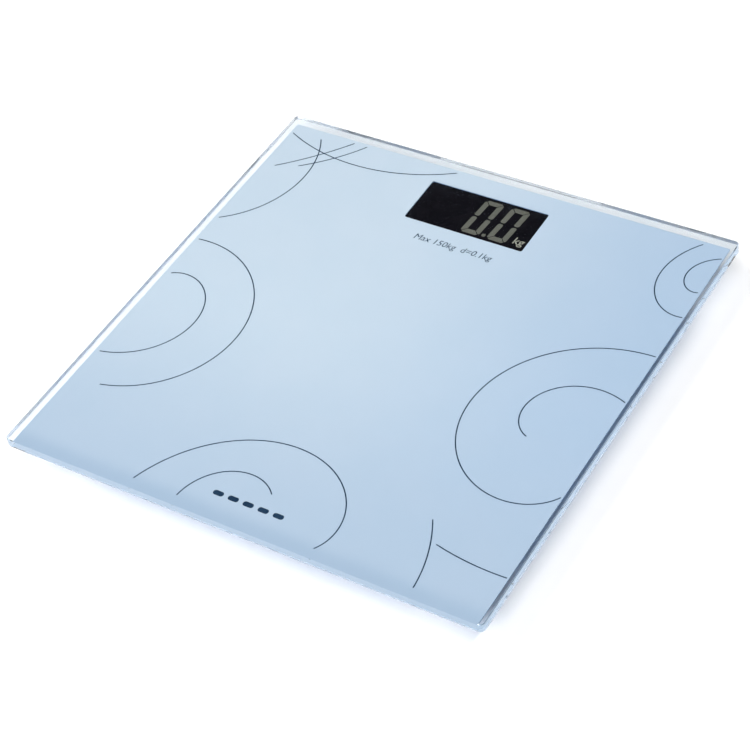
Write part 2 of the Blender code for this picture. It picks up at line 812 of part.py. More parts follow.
def tray_posts():
    heights = (TRAY_FLOOR - MM, BOARD_BOTTOM - GAP)
    return [
        rod(f"board_post_{i}", None, POST_RADIUS, heights, (x, y, 0))
        for i, (x, y) in enumerate(BOARD_SCREWS + BOARD_POSTS)
    ]


def housing_tray():
    tray = plate(
        "housing_tray",
        BRACKET,
        (TRAY_WIDTH, TRAY_DEPTH),
        (TRAY_BOTTOM, TRAY_TOP - FLANGE_THICKNESS / 2),
        (0, TRAY_Y),
        TRAY_CORNER,
        TRAY_RIM,
        6,
    )
    flange = plate(
        "tray_flange",
        None,
        (TRAY_WIDTH + 2 * FLANGE_REACH, TRAY_DEPTH + 2 * FLANGE_REACH),
        (TRAY_TOP - FLANGE_THICKNESS, TRAY_TOP),
        (0, TRAY_Y),
        TRAY_CORNER + FLANGE_REACH,
        segments=6,
    )
    join(tray, flange)
    cut(tray, *tray_cavities())
    cut(tray, *tray_openings())
    join(tray, *tray_posts())
    heights = (SCREW_TIP - GAP, BOARD_BOTTOM + MM)
    for i, (x, y) in enumerate(BOARD_SCREWS):
        cut(tray, rod(f"post_hole_{i}", None, SCREW_HOLE_RADIUS, heights, (x, y, 0)))


def battery_door():
    """The door under the cells, with two knuckles round its hinge pin and a thumb recess."""
    centre_y = (DOOR_FRONT + DOOR_BACK) / 2
    door = plate(
        "battery_door",
        BRACKET,
        (2 * DOOR_HALF_WIDTH, DOOR_BACK - DOOR_FRONT),
        (TRAY_BOTTOM, DOOR_TOP),
        (0, centre_y),
        1.2 * MM,
    )
    for side in (-1, 1):
        left = side * KNUCKLE_X - KNUCKLE_WIDTH / 2
        right = left + KNUCKLE_WIDTH
        name = "left" if side < 0 else "right"
        inset = 0.15 * MM
        arm = box_cutter(
            f"door_arm_{name}",
            (left + inset, DOOR_BACK - MM, TRAY_BOTTOM + inset),
            (right - inset, HINGE_Y, DOOR_TOP - inset),
        )
        knuckle = rod(
            f"door_knuckle_{name}", None, KNUCKLE_RADIUS, (left, right), (0, HINGE_Y, HINGE_Z), "X"
        )
        join(door, arm, knuckle)
    hole = rod(
        "door_pin_hole", None, HINGE_HOLE_RADIUS, (-TRAY_FRONT, TRAY_FRONT), (0, HINGE_Y, HINGE_Z), "X"
    )
    thumb = plate(
        "thumb_recess",
        None,
        (16 * MM, 5 * MM),
        (TRAY_BOTTOM - MM, TRAY_BOTTOM + 0.7 * MM),
        (0, DOOR_FRONT + 5 * MM),
        2 * MM,
    )
    cut(door, hole, thumb)
    axis = axis_empty("door_axis", (0, HINGE_Y, HINGE_Z))
    attach(door, axis)


def hinge_pin():
    reach = BAY_HALF_WIDTH + 0.9 * MM
    rod("hinge_pin", STEEL, HINGE_PIN_RADIUS, (-reach, reach), (0, HINGE_Y, HINGE_Z), "X")


def battery(name, y, side):
    """A cell along X, whose raised positive end points to the given side."""
    tip = BATTERY_LENGTH
    can = BATTERY_LENGTH - NUB_LENGTH
    edge = 0.5 * MM
    cell = turned(
        name,
        SLEEVE,
        [
            (0, tip),
            (NUB_RADIUS - edge / 2, tip),
            (NUB_RADIUS, tip - edge / 2),
            (NUB_RADIUS, can),
            (BATTERY_RADIUS - edge, can),
            (BATTERY_RADIUS, can - edge),
            (BATTERY_RADIUS, edge),
            (BATTERY_RADIUS - edge, 0),
            (0, 0),
        ],
        steps=24,
    )
    positive_end = PLATE_FACE - GAP
    cell.location = (side * (positive_end - BATTERY_LENGTH), y, BATTERY_Z)
    cell.rotation_euler.y = side * math.pi / 2


def contact_spring(name, y, side):
    """A tapering spring between the cell's flat end and the contact behind it."""
    reach = PLATE_FACE - GAP - (BATTERY_LENGTH - PLATE_FACE + GAP)
    length = reach - 2 * GAP - 2 * SPRING_WIRE_RADIUS
    base = PLATE_FACE - GAP - SPRING_WIRE_RADIUS
    steps = round(SPRING_TURNS * SPRING_STEPS)
    route = []
    for i in range(steps + 1):
        share = i / steps
        angle = 2 * math.pi * SPRING_TURNS * share
        radius = SPRING_RADII[0] + (SPRING_RADII[1] - SPRING_RADII[0]) * share
        x = side * (base - length * share)
        route.append((x, y + radius * math.cos(angle), BATTERY_Z + radius * math.sin(angle)))
    wire(name, NICKEL, route, SPRING_WIRE_RADIUS)


def contact_plate(name, y, width, side):
    centre_x = side * (PLATE_FACE + PLATE_THICKNESS / 2)
    plate(name, NICKEL, (PLATE_THICKNESS, width), PLATE_HEIGHTS, (centre_x, y))


def battery_leads():
    """The two leads from the contact tabs over the bay's rib to the circuit board."""
    start_x = PLATE_FACE + PLATE_THICKNESS + GAP + BATTERY_LEAD_RADIUS
    height = PLATE_HEIGHTS[1] - BATTERY_LEAD_RADIUS
    end_height = BOARD_TOP + GAP + BATTERY_LEAD_RADIUS
    ends = {
        "battery_lead_positive": (BATTERY_Y[0], RED_LEAD, 49.4 * MM),
        "battery_lead_negative": (BATTERY_Y[1], BLACK_LEAD, 47.0 * MM),
    }
    for name, (y, paint, end_x) in ends.items():
        route = [
            (start_x, y, height),
            (start_x + 4 * MM, y, height),
            ((start_x + end_x) / 2 + 5 * MM, y + 4 * MM, height - 1.5 * MM),
            (end_x, BOARD_FRONT - 5 * MM, end_height + 0.8 * MM),
            (end_x, BOARD_FRONT + 1.5 * MM, end_height),
        ]
        wire(name, paint, smooth_route(route, 2 * MM), BATTERY_LEAD_RADIUS)


def battery_bay():
    battery("battery_1", BATTERY_Y[0], 1)
    battery("battery_2", BATTERY_Y[1], -1)
    contact_spring("spring_1", BATTERY_Y[0], -1)
    contact_spring("spring_2", BATTERY_Y[1], 1)
    middle = (BATTERY_Y[0] + BATTERY_Y[1]) / 2
    contact_plate("contact_bridge", middle, BATTERY_Y[1] - BATTERY_Y[0] + PLATE_WIDTH, -1)
    contact_plate("contact_positive", BATTERY_Y[0], PLATE_WIDTH, 1)
    contact_plate("contact_negative", BATTERY_Y[1], PLATE_WIDTH, 1)
    battery_leads()
    hinge_pin()
    battery_door()


def circuit_board():
    centre_y = (BOARD_FRONT + BOARD_BACK) / 2
    size = (BOARD_WIDTH, BOARD_BACK - BOARD_FRONT)
    heights = (BOARD_BOTTOM, BOARD_TOP)
    board = plate("circuit_board", BOARD, size, heights, (0, centre_y), BOARD_CORNER)
    for i, (x, y) in enumerate(BOARD_SCREWS):
        ends = (BOARD_BOTTOM - MM, BOARD_TOP + MM)
        cut(board, rod(f"board_hole_{i}", None, SCREW_HOLE_RADIUS, ends, (x, y, 0)))
        head = BOARD_TOP + GAP
        turned(
            f"board_screw_{i + 1}",
            STEEL,
            [
                (0, head + SCREW_HEAD_HEIGHT),
                (0.6 * SCREW_HEAD_RADIUS, head + SCREW_HEAD_HEIGHT),
                (SCREW_HEAD_RADIUS, head + 0.5 * SCREW_HEAD_HEIGHT),
                (SCREW_HEAD_RADIUS, head),
                (SCREW_RADIUS, head),
                (SCREW_RADIUS, SCREW_TIP + SCREW_RADIUS),
                (0, SCREW_TIP),
            ],
            (x, y),
            SMALL_STEPS,
        )


def display():
    """The liquid-crystal panel in its frame, over the back light and the elastomer strip that
    joins it to the board."""
    centre = (0, WINDOW_Y)
    heights = (FRAME_BOTTOM, FRAME_TOP)
    frame = plate("lcd_frame", DIFFUSER, (FRAME_WIDTH, FRAME_DEPTH), heights, centre, 1 * MM)
    pocket = (PANEL_WIDTH + 2 * GAP, PANEL_DEPTH + 2 * GAP)
    well = (pocket[0] - 3 * MM, pocket[1] - 3 * MM)
    cut(
        frame,
        plate("panel_pocket", None, pocket, (LEDGE_HEIGHT, FRAME_TOP + MM), centre),
        plate("backlight_well", None, well, (FRAME_BOTTOM - MM, LEDGE_HEIGHT + MM), centre),
    )
    heights = (LEDGE_HEIGHT + GAP, FRAME_TOP)
    plate("lcd_panel", DISPLAY, (PANEL_WIDTH, PANEL_DEPTH), heights, centre, rim=0.2 * MM)
    heights = (FRAME_BOTTOM + GAP, LEDGE_HEIGHT)
    size = (BACKLIGHT_WIDTH, BACKLIGHT_DEPTH)
    plate("backlight", DIFFUSER, size, heights, (0, BACKLIGHT_Y), 0.8 * MM)
    plate("contact_strip", STRIP, (STRIP_WIDTH, STRIP_DEPTH), (FRAME_BOTTOM, LEDGE_HEIGHT), (0, STRIP_Y))


def chip_blob():
    top = BOARD_BOTTOM - GAP
    turned(
        "chip_blob",
        RESIN,
        [
            (0, top),
            (CHIP_RADIUS, top),
            (0.93 * CHIP_RADIUS, top - 0.5 * CHIP_HEIGHT),
            (0.68 * CHIP_RADIUS, top - 0.85 * CHIP_HEIGHT),
            (0, top - CHIP_HEIGHT),
        ],
        (CHIP_X, WINDOW_Y),
        24,
    )


def unit_switch():
    """The unit button in the tray floor, and the switch on the board that it presses."""
    centre = (BUTTON_X, BUTTON_Y)
    heights = (SWITCH_BOTTOM, BOARD_BOTTOM - GAP)
    body = plate("switch_body", SWITCH, (SWITCH_SIZE, SWITCH_SIZE), heights, centre, 0.5 * MM)
    ends = (SWITCH_BOTTOM - MM, PLUNGER_HOLE_TOP)
    cut(body, rod("plunger_hole", None, PLUNGER_HOLE_RADIUS, ends, (*centre, 0)))
    axis = axis_empty("button_axis", (*centre, BUTTON_UNDERSIDE))
    plunger = rod("switch_plunger", STEEL, PLUNGER_RADIUS, PLUNGER_HEIGHTS, (*centre, 0))
    shoulder = TRAY_FLOOR + GAP
    edge = 0.4 * MM
    cap = turned(
        "unit_button",
        BUTTON,
        [
            (0, BUTTON_TOP),
            (BUTTON_FLANGE_RADIUS, BUTTON_TOP),
            (BUTTON_FLANGE_RADIUS, shoulder),
            (BUTTON_RADIUS, shoulder),
            (BUTTON_RADIUS, BUTTON_UNDERSIDE + edge),
            (BUTTON_RADIUS - edge, BUTTON_UNDERSIDE),
            (0, BUTTON_UNDERSIDE),
        ],
        centre,
        24,
    )
    attach(plunger, axis)
    attach(cap, axis)


def electronics_box():
    housing_adhesive()
    housing_tray()
    battery_bay()
    circuit_board()
    display()
    chip_blob()
    unit_switch()


glass_platform()
back_print()
sensor_feet()
electronics_box()
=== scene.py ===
import math

import bmesh
import bpy
from mathutils import Matrix, Vector
from mathutils.geometry import delaunay_2d_cdt


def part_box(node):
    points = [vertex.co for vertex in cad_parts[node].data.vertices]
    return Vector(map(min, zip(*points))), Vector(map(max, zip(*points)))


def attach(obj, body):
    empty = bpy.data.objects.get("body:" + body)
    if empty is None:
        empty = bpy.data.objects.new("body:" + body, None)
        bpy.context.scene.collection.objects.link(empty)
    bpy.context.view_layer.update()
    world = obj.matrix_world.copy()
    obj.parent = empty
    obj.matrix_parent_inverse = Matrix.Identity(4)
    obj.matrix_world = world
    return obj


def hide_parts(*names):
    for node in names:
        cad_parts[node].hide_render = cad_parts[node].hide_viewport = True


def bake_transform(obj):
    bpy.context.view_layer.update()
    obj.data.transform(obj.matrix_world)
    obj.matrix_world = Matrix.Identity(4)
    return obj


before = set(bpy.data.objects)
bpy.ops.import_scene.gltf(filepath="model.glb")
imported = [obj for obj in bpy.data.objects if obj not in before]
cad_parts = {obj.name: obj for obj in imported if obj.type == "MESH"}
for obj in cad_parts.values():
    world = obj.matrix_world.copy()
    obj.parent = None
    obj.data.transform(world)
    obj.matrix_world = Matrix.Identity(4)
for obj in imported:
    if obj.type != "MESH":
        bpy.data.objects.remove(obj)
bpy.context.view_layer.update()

MM = 0.001

# Camera: its place on a sphere round a point of the glass's top face, in degrees and metres
CAMERA_AZIMUTH = 38.44
CAMERA_ELEVATION = 45.0
CAMERA_ROLL = -10.33
CAMERA_DISTANCE = 1.1611
CAMERA_TARGET = (13.4 * MM, -24.9 * MM)
CAMERA_LENS = 102.16
CAMERA_SENSOR = 36.0
CAMERA_NEAR = 10 * MM

# Lamps: name, azimuth (0 in front of the scale, 90 at its right) and elevation in degrees, width and
# height in metres, and power in watts
LAMPS = (
    ("front_softbox", 4, 38, (0.9, 0.6), 28),
    ("left_softbox", -61, 38, (0.9, 0.6), 34),
    ("back_softbox", 176, 20, (0.8, 0.4), 28),
    ("top_softbox", 90, 69.5, (1.3, 0.22), 22),
    ("low_softbox", 25, -58, (1.4, 1.2), 15),
)
LAMP_DISTANCE = 2.2

# Sky: two heights of the view's direction, and its strength at each
SKY_HEIGHTS = (0.12, 0.5)
SKY_STRENGTHS = (0.33, 0.013)
FLOOR_RADIUS = 6.0
FLOOR_DROP = 0.05 * MM

# Printed coat on the underside of the glass
GLASS_CHAMFER = 0.4 * MM
GLASS_CORNER = 3 * MM
CORNER_STEPS = 8
COAT_CORNER = 0.5 * MM
WINDOW_CORNER = 1.2 * MM
LINE_WIDTH = 0.72 * MM
LINE_STEP = 2.5 * MM

# Shades of the coat, and the stretches over which one passes into the next. The shades are partly the
# print's own tone and partly painted light and shade: lighter at the left where the studio light and
# its reflection fall, deeper towards the right, the front and most at the front rim
COAT_LIT_LEFT = (0.545, 0.634, 0.722)
COAT_SHADED_RIGHT = (0.416, 0.53, 0.672)
COAT_SHADED_FRONT = (0.412, 0.51, 0.63)
COAT_SHADED_RIM = (0.353, 0.455, 0.582)
COAT_ACROSS = (-50 * MM, 150 * MM)
COAT_ALONG = (10 * MM, -150 * MM)
COAT_SHADED_RIM_AT = (-134 * MM, -146 * MM)

# Window of the display in the coat: lowest and highest corner
WINDOW_LOW = (-40.25 * MM, 96.9 * MM)
WINDOW_HIGH = (38.25 * MM, 131.3 * MM)

# All ink stops at a frame inside the coat's edge: lowest and highest corner
INK_FRAME = ((-144.5 * MM, -141.5 * MM), (145 * MM, 143 * MM))
INK_FRAME_CORNER = 0.5 * MM

# Scroll lines of the decoration: centre x and y, first and last radius in millimetres, and first and
# last angle in degrees. The radius changes evenly with the angle.
SCROLLS = (
    (-92, 245.5, 120.5, 119.5, -117, -56),
    (-179, 104.5, 64, 63, 32, -56),
    (-134, 353, 247, 211.5, -91, -81.4),
    (-109, 258, 147.5, 114, -96, -81.7),
    (-139, -27, 58.5, 66, 95, -80),
    (-142.5, -18, 18, 52.5, 90, -91),
    (26, -146.5, 95.5, 16.5, 179, 4),
    (-4, -138, 36.5, 21, 189, 60),
    (51, -212, 120.5, 86, 70, 50.5),
    (251, 4, 189, 157.3, -142, -130.3),
    (131, -33.5, 86.5, 28.5, 80.5, 299),
    (120, -20, 43.5, 14, 50, 216),
    (151, 87.5, 60.5, 3, 108, 210),
    (147, 108.5, 28, 3.5, 92, 224),
)

# Dashes near the front edge: their number, size, pitch, the middle of the row, and their corners
DASH_COUNT = 5
DASH_SIZE = Vector((6.5, 3.2)) * MM
DASH_PITCH = 9.5 * MM
DASH_MIDDLE = Vector((-1, -131)) * MM
DASH_CORNER = 0.45 * DASH_SIZE.y

# Capacity line: words, height of its letters, middle, and slant
CAPACITY = ("Max 150kg  d=0.1kg", 6.3 * MM, (-0.5 * MM, 84.6 * MM), 0.15)

# Display panel: its two glasses, the seam between them, and how much longer the upper one is
PANEL_CORNER = 0.4 * MM
PANEL_RIM = 0.15 * MM
PANEL_SPLIT = 0.48
PANEL_SEAM = 0.05 * MM
PANEL_SHELF = 3.6 * MM

# Display figures: centre lines of the bars, and the stroke of a bar
FIGURE_HALF_WIDTH = 4.5 * MM
FIGURE_HALF_HEIGHT = 13.2 * MM
FIGURE_HALF_STROKE = 1.7 * MM
FIGURE_GAP = 0.3 * MM
FIGURE_TIP = 0.8 * MM
FIGURE_SLANT = 0.075
FIGURE_CENTRES = (2.7 * MM, 20.1 * MM)
FIGURE_Y = 114.7 * MM
FILM = 0.05 * MM
FILM_CLEARANCE = 0.02 * MM
POINT_MIDDLE = Vector((10.6, 101.7)) * MM
POINT_REACH = Vector((1.2, 1.2)) * MM
POINT_CORNER = 0.8 * MM

# Unit: word, height of its letters, middle, slant, and added weight
UNIT = ("kg", 7.8 * MM, (32.1 * MM, 104.6 * MM), 0.1, 0.06 * MM)

# Screen weave on the coat's back and bands of the contact rubber, in radians a metre
SCREEN_MESH = 9000.0
ZEBRA_BANDS = 12000.0

# Tracks of the circuit board
TRACK_GAP = 0.35 * MM
TRACK_LENGTH = 11 * MM
TRACK_PITCH = 3.1 * MM

# Battery sleeve, measured from the tip of the positive end
SLEEVE_START = 1.5 * MM
SLEEVE_END = 43.6 * MM
BAND_END = 14 * MM
RULE_AT = 15.4 * MM
RULE_WIDTH = 0.7 * MM
PRINT_EDGE = 0.2 * MM

CORNERS = {
    "front_left": (-1, -1),
    "front_right": (1, -1),
    "back_left": (-1, 1),
    "back_right": (1, 1),
}

# Load cell: the slot that frees its tongue, and the bump under the tongue
TONGUE_HALF_WIDTH = 5 * MM
TONGUE_FREE_END = -7.5 * MM
TONGUE_ROOT = 8.0 * MM
TONGUE_SLOT = 1.8 * MM
CELL_CORNER = 3 * MM
BUMP_RADIUS = 2.6 * MM
BUMP_HEIGHT = 0.6 * MM
BUMP_SIDES = 16
TONGUE_ROWS = 8

# Rounding of the bump's foot: how far each ring is inside the bump, and above its lowest point
BUMP_RINGS = ((0, BUMP_HEIGHT), (0.1 * MM, 0.1 * MM), (0.4 * MM, 0))

# Sensor foot: the bracket round it, with a window for the lead, the cup and the pad
TURN_STEPS = 96
BRACKET_RADIUS = 24 * MM
BRACKET_WALL = 1.8 * MM
BRACKET_ROOF = 1.6 * MM
BRACKET_RIM = 0.5 * MM
SEAT_RADII = (11.0 * MM, 13.5 * MM)
SEAT_HEIGHT = 0.9 * MM
WINDOW_HEIGHTS = (9.4 * MM, 12.6 * MM)
CUP_RIM = 0.6 * MM
PAD_CLEARANCE = 0.4 * MM
BOSS_RADIUS = 4.0 * MM
FLANGE_TOP = 4.0 * MM
SKIRT_RADII = (20.0 * MM, 21.6 * MM)
SKIRT_TOP = 8.2 * MM
PAD_EDGE = 0.4 * MM
PAD_SINK = 0.3 * MM
PAD_GROOVES = (13.0 * MM, 8.0 * MM)
PAD_GROOVE_WIDTH = 1.2 * MM
PAD_GROOVE_DEPTH = 0.6 * MM

# Sensor leads: three thin wires side by side inside each lead's sheath
LEAD_RADIUS = 0.8 * MM
WIRE_RADIUS = 0.36 * MM
WIRE_SPREAD = 0.42 * MM
WIRE_SIDES = 8
WIRE_STEP = 2.5 * MM
WIRE_PITCH = 45 * MM
LEAD_OFF_CELL = 1.1 * MM
LEAD_LOW = 11.0 * MM
LEAD_BOX = 11.5 * MM
LEAD_END_X = 49.6 * MM
FRONT_LEAD_Y = 104 * MM
BACK_LEAD_Y = 122 * MM

# Past its bracket, a lead leaves the bracket's height at the first distance and is up at the second
FRONT_LEAD_RISE = (2 * MM, 12 * MM)
BACK_LEAD_RISE = (2 * MM, 8 * MM)

# A front lead's sweep along the glass: how far inwards of its foot, and at which y
FRONT_LEAD_SWEEP = ((0, -30 * MM), (3 * MM, 30 * MM), (12 * MM, 76 * MM), (30 * MM, 100 * MM))
BACK_LEAD_SHIFT = 1 * MM
BACK_LEAD_BEND = (9 * MM, -2 * MM)
WALL_STOPS = (3 * MM, -4 * MM)

# Grip ridges of the battery door
RIDGE_COUNT = 4
RIDGE_X = 8.5 * MM
RIDGE_PITCH = 1.8 * MM
RIDGE_INSET = 4.6 * MM
RIDGE_WIDTH = 0.8 * MM
RIDGE_LENGTH = 5.0 * MM
RIDGE_HEIGHT = 0.3 * MM
RIDGE_EDGE = 0.1 * MM

# Chip resistors and capacitors: length, width and height, and the length of a tinned end
PART_SIZE = Vector((2.0, 1.2, 0.6)) * MM
PART_END = 0.4 * MM
PART_EDGE = 0.05 * MM
PART_LIFT = 0.02 * MM
PART_ROWS = (-13 * MM, -9.5 * MM, 9.5 * MM, 13 * MM)
PART_COLUMNS = 7
PART_PITCH = 4.6 * MM
ROW_SHIFT = 0.7 * MM


# ---------------------------------------------------------------- node helpers


def new_paint(name, roughness=0.5, metallic=0.0, **sockets):
    """A material with one Principled shader, whose constant inputs are set on its own sockets."""
    paint = bpy.data.materials.new(name)
    paint.use_nodes = True
    shader = paint.node_tree.nodes["Principled BSDF"]
    shader.inputs["Roughness"].default_value = roughness
    shader.inputs["Metallic"].default_value = metallic
    for socket, value in sockets.items():
        shader.inputs[socket.replace("_", " ").title().replace("Ior", "IOR")].default_value = value
    return paint


def node(paint, kind, **settings):
    made = paint.node_tree.nodes.new(kind)
    for setting, value in settings.items():
        setattr(made, setting, value)
    return made


def link(paint, source, target):
    paint.node_tree.links.new(source, target)


def place(paint):
    """The Texture Coordinate node's object coordinates, in metres."""
    return node(paint, "ShaderNodeTexCoord").outputs["Object"]


def noise(paint, scale, detail=2.0, roughness=0.5, stretch=None):
    """Noise over object coordinates. scale is in cycles a metre, and stretch multiplies it by axis."""
    made = node(paint, "ShaderNodeTexNoise")
    made.inputs["Scale"].default_value = scale
    made.inputs["Detail"].default_value = detail
    made.inputs["Roughness"].default_value = roughness
    source = place(paint)
    if stretch:
        mapping = node(paint, "ShaderNodeMapping")
        mapping.inputs["Scale"].default_value = stretch
        link(paint, source, mapping.inputs["Vector"])
        source = mapping.outputs["Vector"]
    link(paint, source, made.inputs["Vector"])
    return made.outputs["Fac"]


def ramp(paint, source, low, high, out_low=0.0, out_high=1.0, smooth=True):
    """source mapped from low..high to out_low..out_high, clamped."""
    made = node(paint, "ShaderNodeMapRange")
    if smooth:
        made.interpolation_type = "SMOOTHSTEP"
    values = (("From Min", low), ("From Max", high), ("To Min", out_low), ("To Max", out_high))
    for socket, value in values:
        made.inputs[socket].default_value = value
    link(paint, source, made.inputs["Value"])
    return made.outputs["Result"]


def maths(paint, operation, a, b=None):
    made = node(paint, "ShaderNodeMath", operation=operation)
    for socket, value in zip(made.inputs, (a, b)):
        if value is None:
            continue
        if isinstance(value, (int, float)):
            socket.default_value = value
        else:
            link(paint, value, socket)
    return made.outputs["Value"]


def mixed(paint, factor, first, second):
    """Two colours, or colour outputs, mixed by factor."""
    made = node(paint, "ShaderNodeMix", data_type="RGBA")
    link(paint, factor, made.inputs["Factor"])
    for socket, value in zip((made.inputs[6], made.inputs[7]), (first, second)):
        if isinstance(value, tuple):
            socket.default_value = (*value, 1.0)
        else:
            link(paint, value, socket)
    return made.outputs[2]


def shader_of(paint):
    return paint.node_tree.nodes["Principled BSDF"]


def colour_from(paint, source):
    link(paint, source, shader_of(paint).inputs["Base Color"])


def roughness_from(paint, source, low, high):
    link(paint, ramp(paint, source, 0.3, 0.7, low, high), shader_of(paint).inputs["Roughness"])


def bump_from(paint, source, depth):
    made = node(paint, "ShaderNodeBump")
    made.inputs["Distance"].default_value = depth
    made.inputs["Strength"].default_value = 1.0
    link(paint, source, made.inputs["Height"])
    link(paint, made.outputs["Normal"], shader_of(paint).inputs["Normal"])


def axis_value(paint, axis):
    split = node(paint, "ShaderNodeSeparateXYZ")
    link(paint, place(paint), split.inputs["Vector"])
    return split.outputs[axis]


# ---------------------------------------------------------------- materials


def open_to_lamps(paint, tint, factor):
    """Mixes the paint's shader with a transparent one by factor."""
    open_side = node(paint, "ShaderNodeBsdfTransparent")
    open_side.inputs["Color"].default_value = (*tint, 1)
    both = node(paint, "ShaderNodeMixShader")
    link(paint, factor, both.inputs[0])
    link(paint, shader_of(paint).outputs[0], both.inputs[1])
    link(paint, open_side.outputs[0], both.inputs[2])
    link(paint, both.outputs[0], paint.node_tree.nodes["Material Output"].inputs["Surface"])


def glass_paint(name, roughness):
    """Clear glass with a faint blue-green body, which lets lamps through to what is behind it."""
    paint = new_paint(name, roughness, transmission_weight=1.0, ior=1.52)
    smears = ramp(paint, noise(paint, 35, 3.0), 0.35, 0.65)
    colour_from(paint, mixed(paint, smears, (0.82, 0.885, 0.935), (0.85, 0.90, 0.945)))
    path = node(paint, "ShaderNodeLightPath")
    open_to_lamps(paint, (0.97, 0.98, 0.98), path.outputs["Is Shadow Ray"])
    return paint


def coat_paint():
    """Silver-blue pearl enamel, partly its own tone and partly painted light and shade: lighter at the
    left, deeper towards the right and the front, and most at the front rim.
    """
    paint = new_paint("silver_blue_coat", 0.5, specular_ior_level=0.0)
    # Painted light and shade over the print's own tone: the coat passes from its lit left shade to
    # deeper right, front and front rim shades.
    across = ramp(paint, axis_value(paint, "X"), *COAT_ACROSS)
    along = ramp(paint, axis_value(paint, "Y"), *COAT_ALONG, 0.0, 0.9)
    rim = ramp(paint, axis_value(paint, "Y"), *COAT_SHADED_RIM_AT)
    base = mixed(paint, along, mixed(paint, across, COAT_LIT_LEFT, COAT_SHADED_RIGHT), COAT_SHADED_FRONT)
    base = mixed(paint, rim, base, COAT_SHADED_RIM)
    flakes = ramp(paint, noise(paint, 2600, 1.0), 0.35, 0.75, 0.0, 0.08)
    colour_from(paint, mixed(paint, flakes, base, (0.82, 0.88, 0.93)))
    roughness_from(paint, noise(paint, 90), 0.45, 0.6)
    return paint


def speckled(name, light, dark, roughness, scale=700, depth=0.0, metallic=0.0, stretch=None, **more):
    """A material of two close shades in fine noise, uneven in gloss, with a fine grain in relief."""
    paint = new_paint(name, roughness, metallic, **more)
    grain = noise(paint, scale, 3.0, 0.6, stretch)
    patches = ramp(paint, noise(paint, 45, 2.0), 0.3, 0.7)
    blend = ramp(paint, maths(paint, "ADD", grain, maths(paint, "MULTIPLY", patches, 0.25)), 0.4, 0.9)
    colour_from(paint, mixed(paint, blend, dark, light))
    roughness_from(paint, grain, roughness * 0.85, min(1.0, roughness * 1.2))
    if depth:
        bump_from(paint, grain, depth)
    return paint


def line_paint():
    return speckled(
        "slate_ink", (0.022, 0.05, 0.095), (0.013, 0.032, 0.066), 0.5, 3000, specular_ior_level=0.0
    )


def back_print_paint():
    """The back of the fired coat, as the screen's mesh leaves it."""
    paint = new_paint("coat_back", 0.55)
    threads = [
        maths(paint, "SINE", maths(paint, "MULTIPLY", axis_value(paint, axis), SCREEN_MESH))
        for axis in ("X", "Y")
    ]
    weave = maths(paint, "MULTIPLY", *threads)
    patches = ramp(paint, noise(paint, 60, 4.0, 0.65), 0.3, 0.7)
    fine = ramp(paint, weave, -0.6, 0.6, 0.0, 0.3)
    uneven = maths(paint, "ADD", patches, fine)
    colour_from(paint, mixed(paint, uneven, (0.19, 0.30, 0.49), (0.25, 0.37, 0.56)))
    roughness_from(paint, noise(paint, 200), 0.45, 0.65)
    return paint


def board_paint():
    """Green solder resist over copper tracks, with small tinned pads."""
    paint = new_paint("solder_resist", 0.35)
    tracks = node(paint, "ShaderNodeTexBrick", offset=0.37, squash=1.4, squash_frequency=3)
    for socket, value in (
        ("Scale", 1.0),
        ("Mortar Size", TRACK_GAP),
        ("Brick Width", TRACK_LENGTH),
        ("Row Height", TRACK_PITCH),
        ("Mortar Smooth", 0.1),
    ):
        tracks.inputs[socket].default_value = value
    link(paint, place(paint), tracks.inputs["Vector"])
    resist = mixed(paint, tracks.outputs["Fac"], (0.012, 0.13, 0.055), (0.03, 0.24, 0.10))
    pads = node(paint, "ShaderNodeTexVoronoi")
    pads.inputs["Scale"].default_value = 330
    link(paint, place(paint), pads.inputs["Vector"])
    tinned = ramp(paint, pads.outputs["Distance"], 0.20, 0.17)
    colour_from(paint, mixed(paint, tinned, resist, (0.62, 0.60, 0.55)))
    roughness_from(paint, noise(paint, 300), 0.28, 0.4)
    bump_from(paint, tracks.outputs["Fac"], 0.03 * MM)
    return paint


def light_guide_paint():
    """Milky acrylic with the dots of a light guide."""
    paint = new_paint("light_guide", 0.3)
    dots = node(paint, "ShaderNodeTexVoronoi")
    dots.inputs["Scale"].default_value = 700
    dots.inputs["Randomness"].default_value = 0.2
    link(paint, place(paint), dots.inputs["Vector"])
    spot = ramp(paint, dots.outputs["Distance"], 0.3, 0.22)
    colour_from(paint, mixed(paint, spot, (0.80, 0.81, 0.80), (0.92, 0.92, 0.91)))
    roughness_from(paint, noise(paint, 150), 0.25, 0.35)
    return paint


def zebra_paint():
    """Contact rubber: thin carbon bands between insulating ones."""
    paint = new_paint("contact_rubber", 0.6)
    wave = maths(paint, "SINE", maths(paint, "MULTIPLY", axis_value(paint, "X"), ZEBRA_BANDS))
    band = ramp(paint, wave, -0.2, 0.2)
    colour_from(paint, mixed(paint, band, (0.72, 0.33, 0.42), (0.05, 0.04, 0.045)))
    roughness_from(paint, noise(paint, 500), 0.5, 0.7)
    return paint


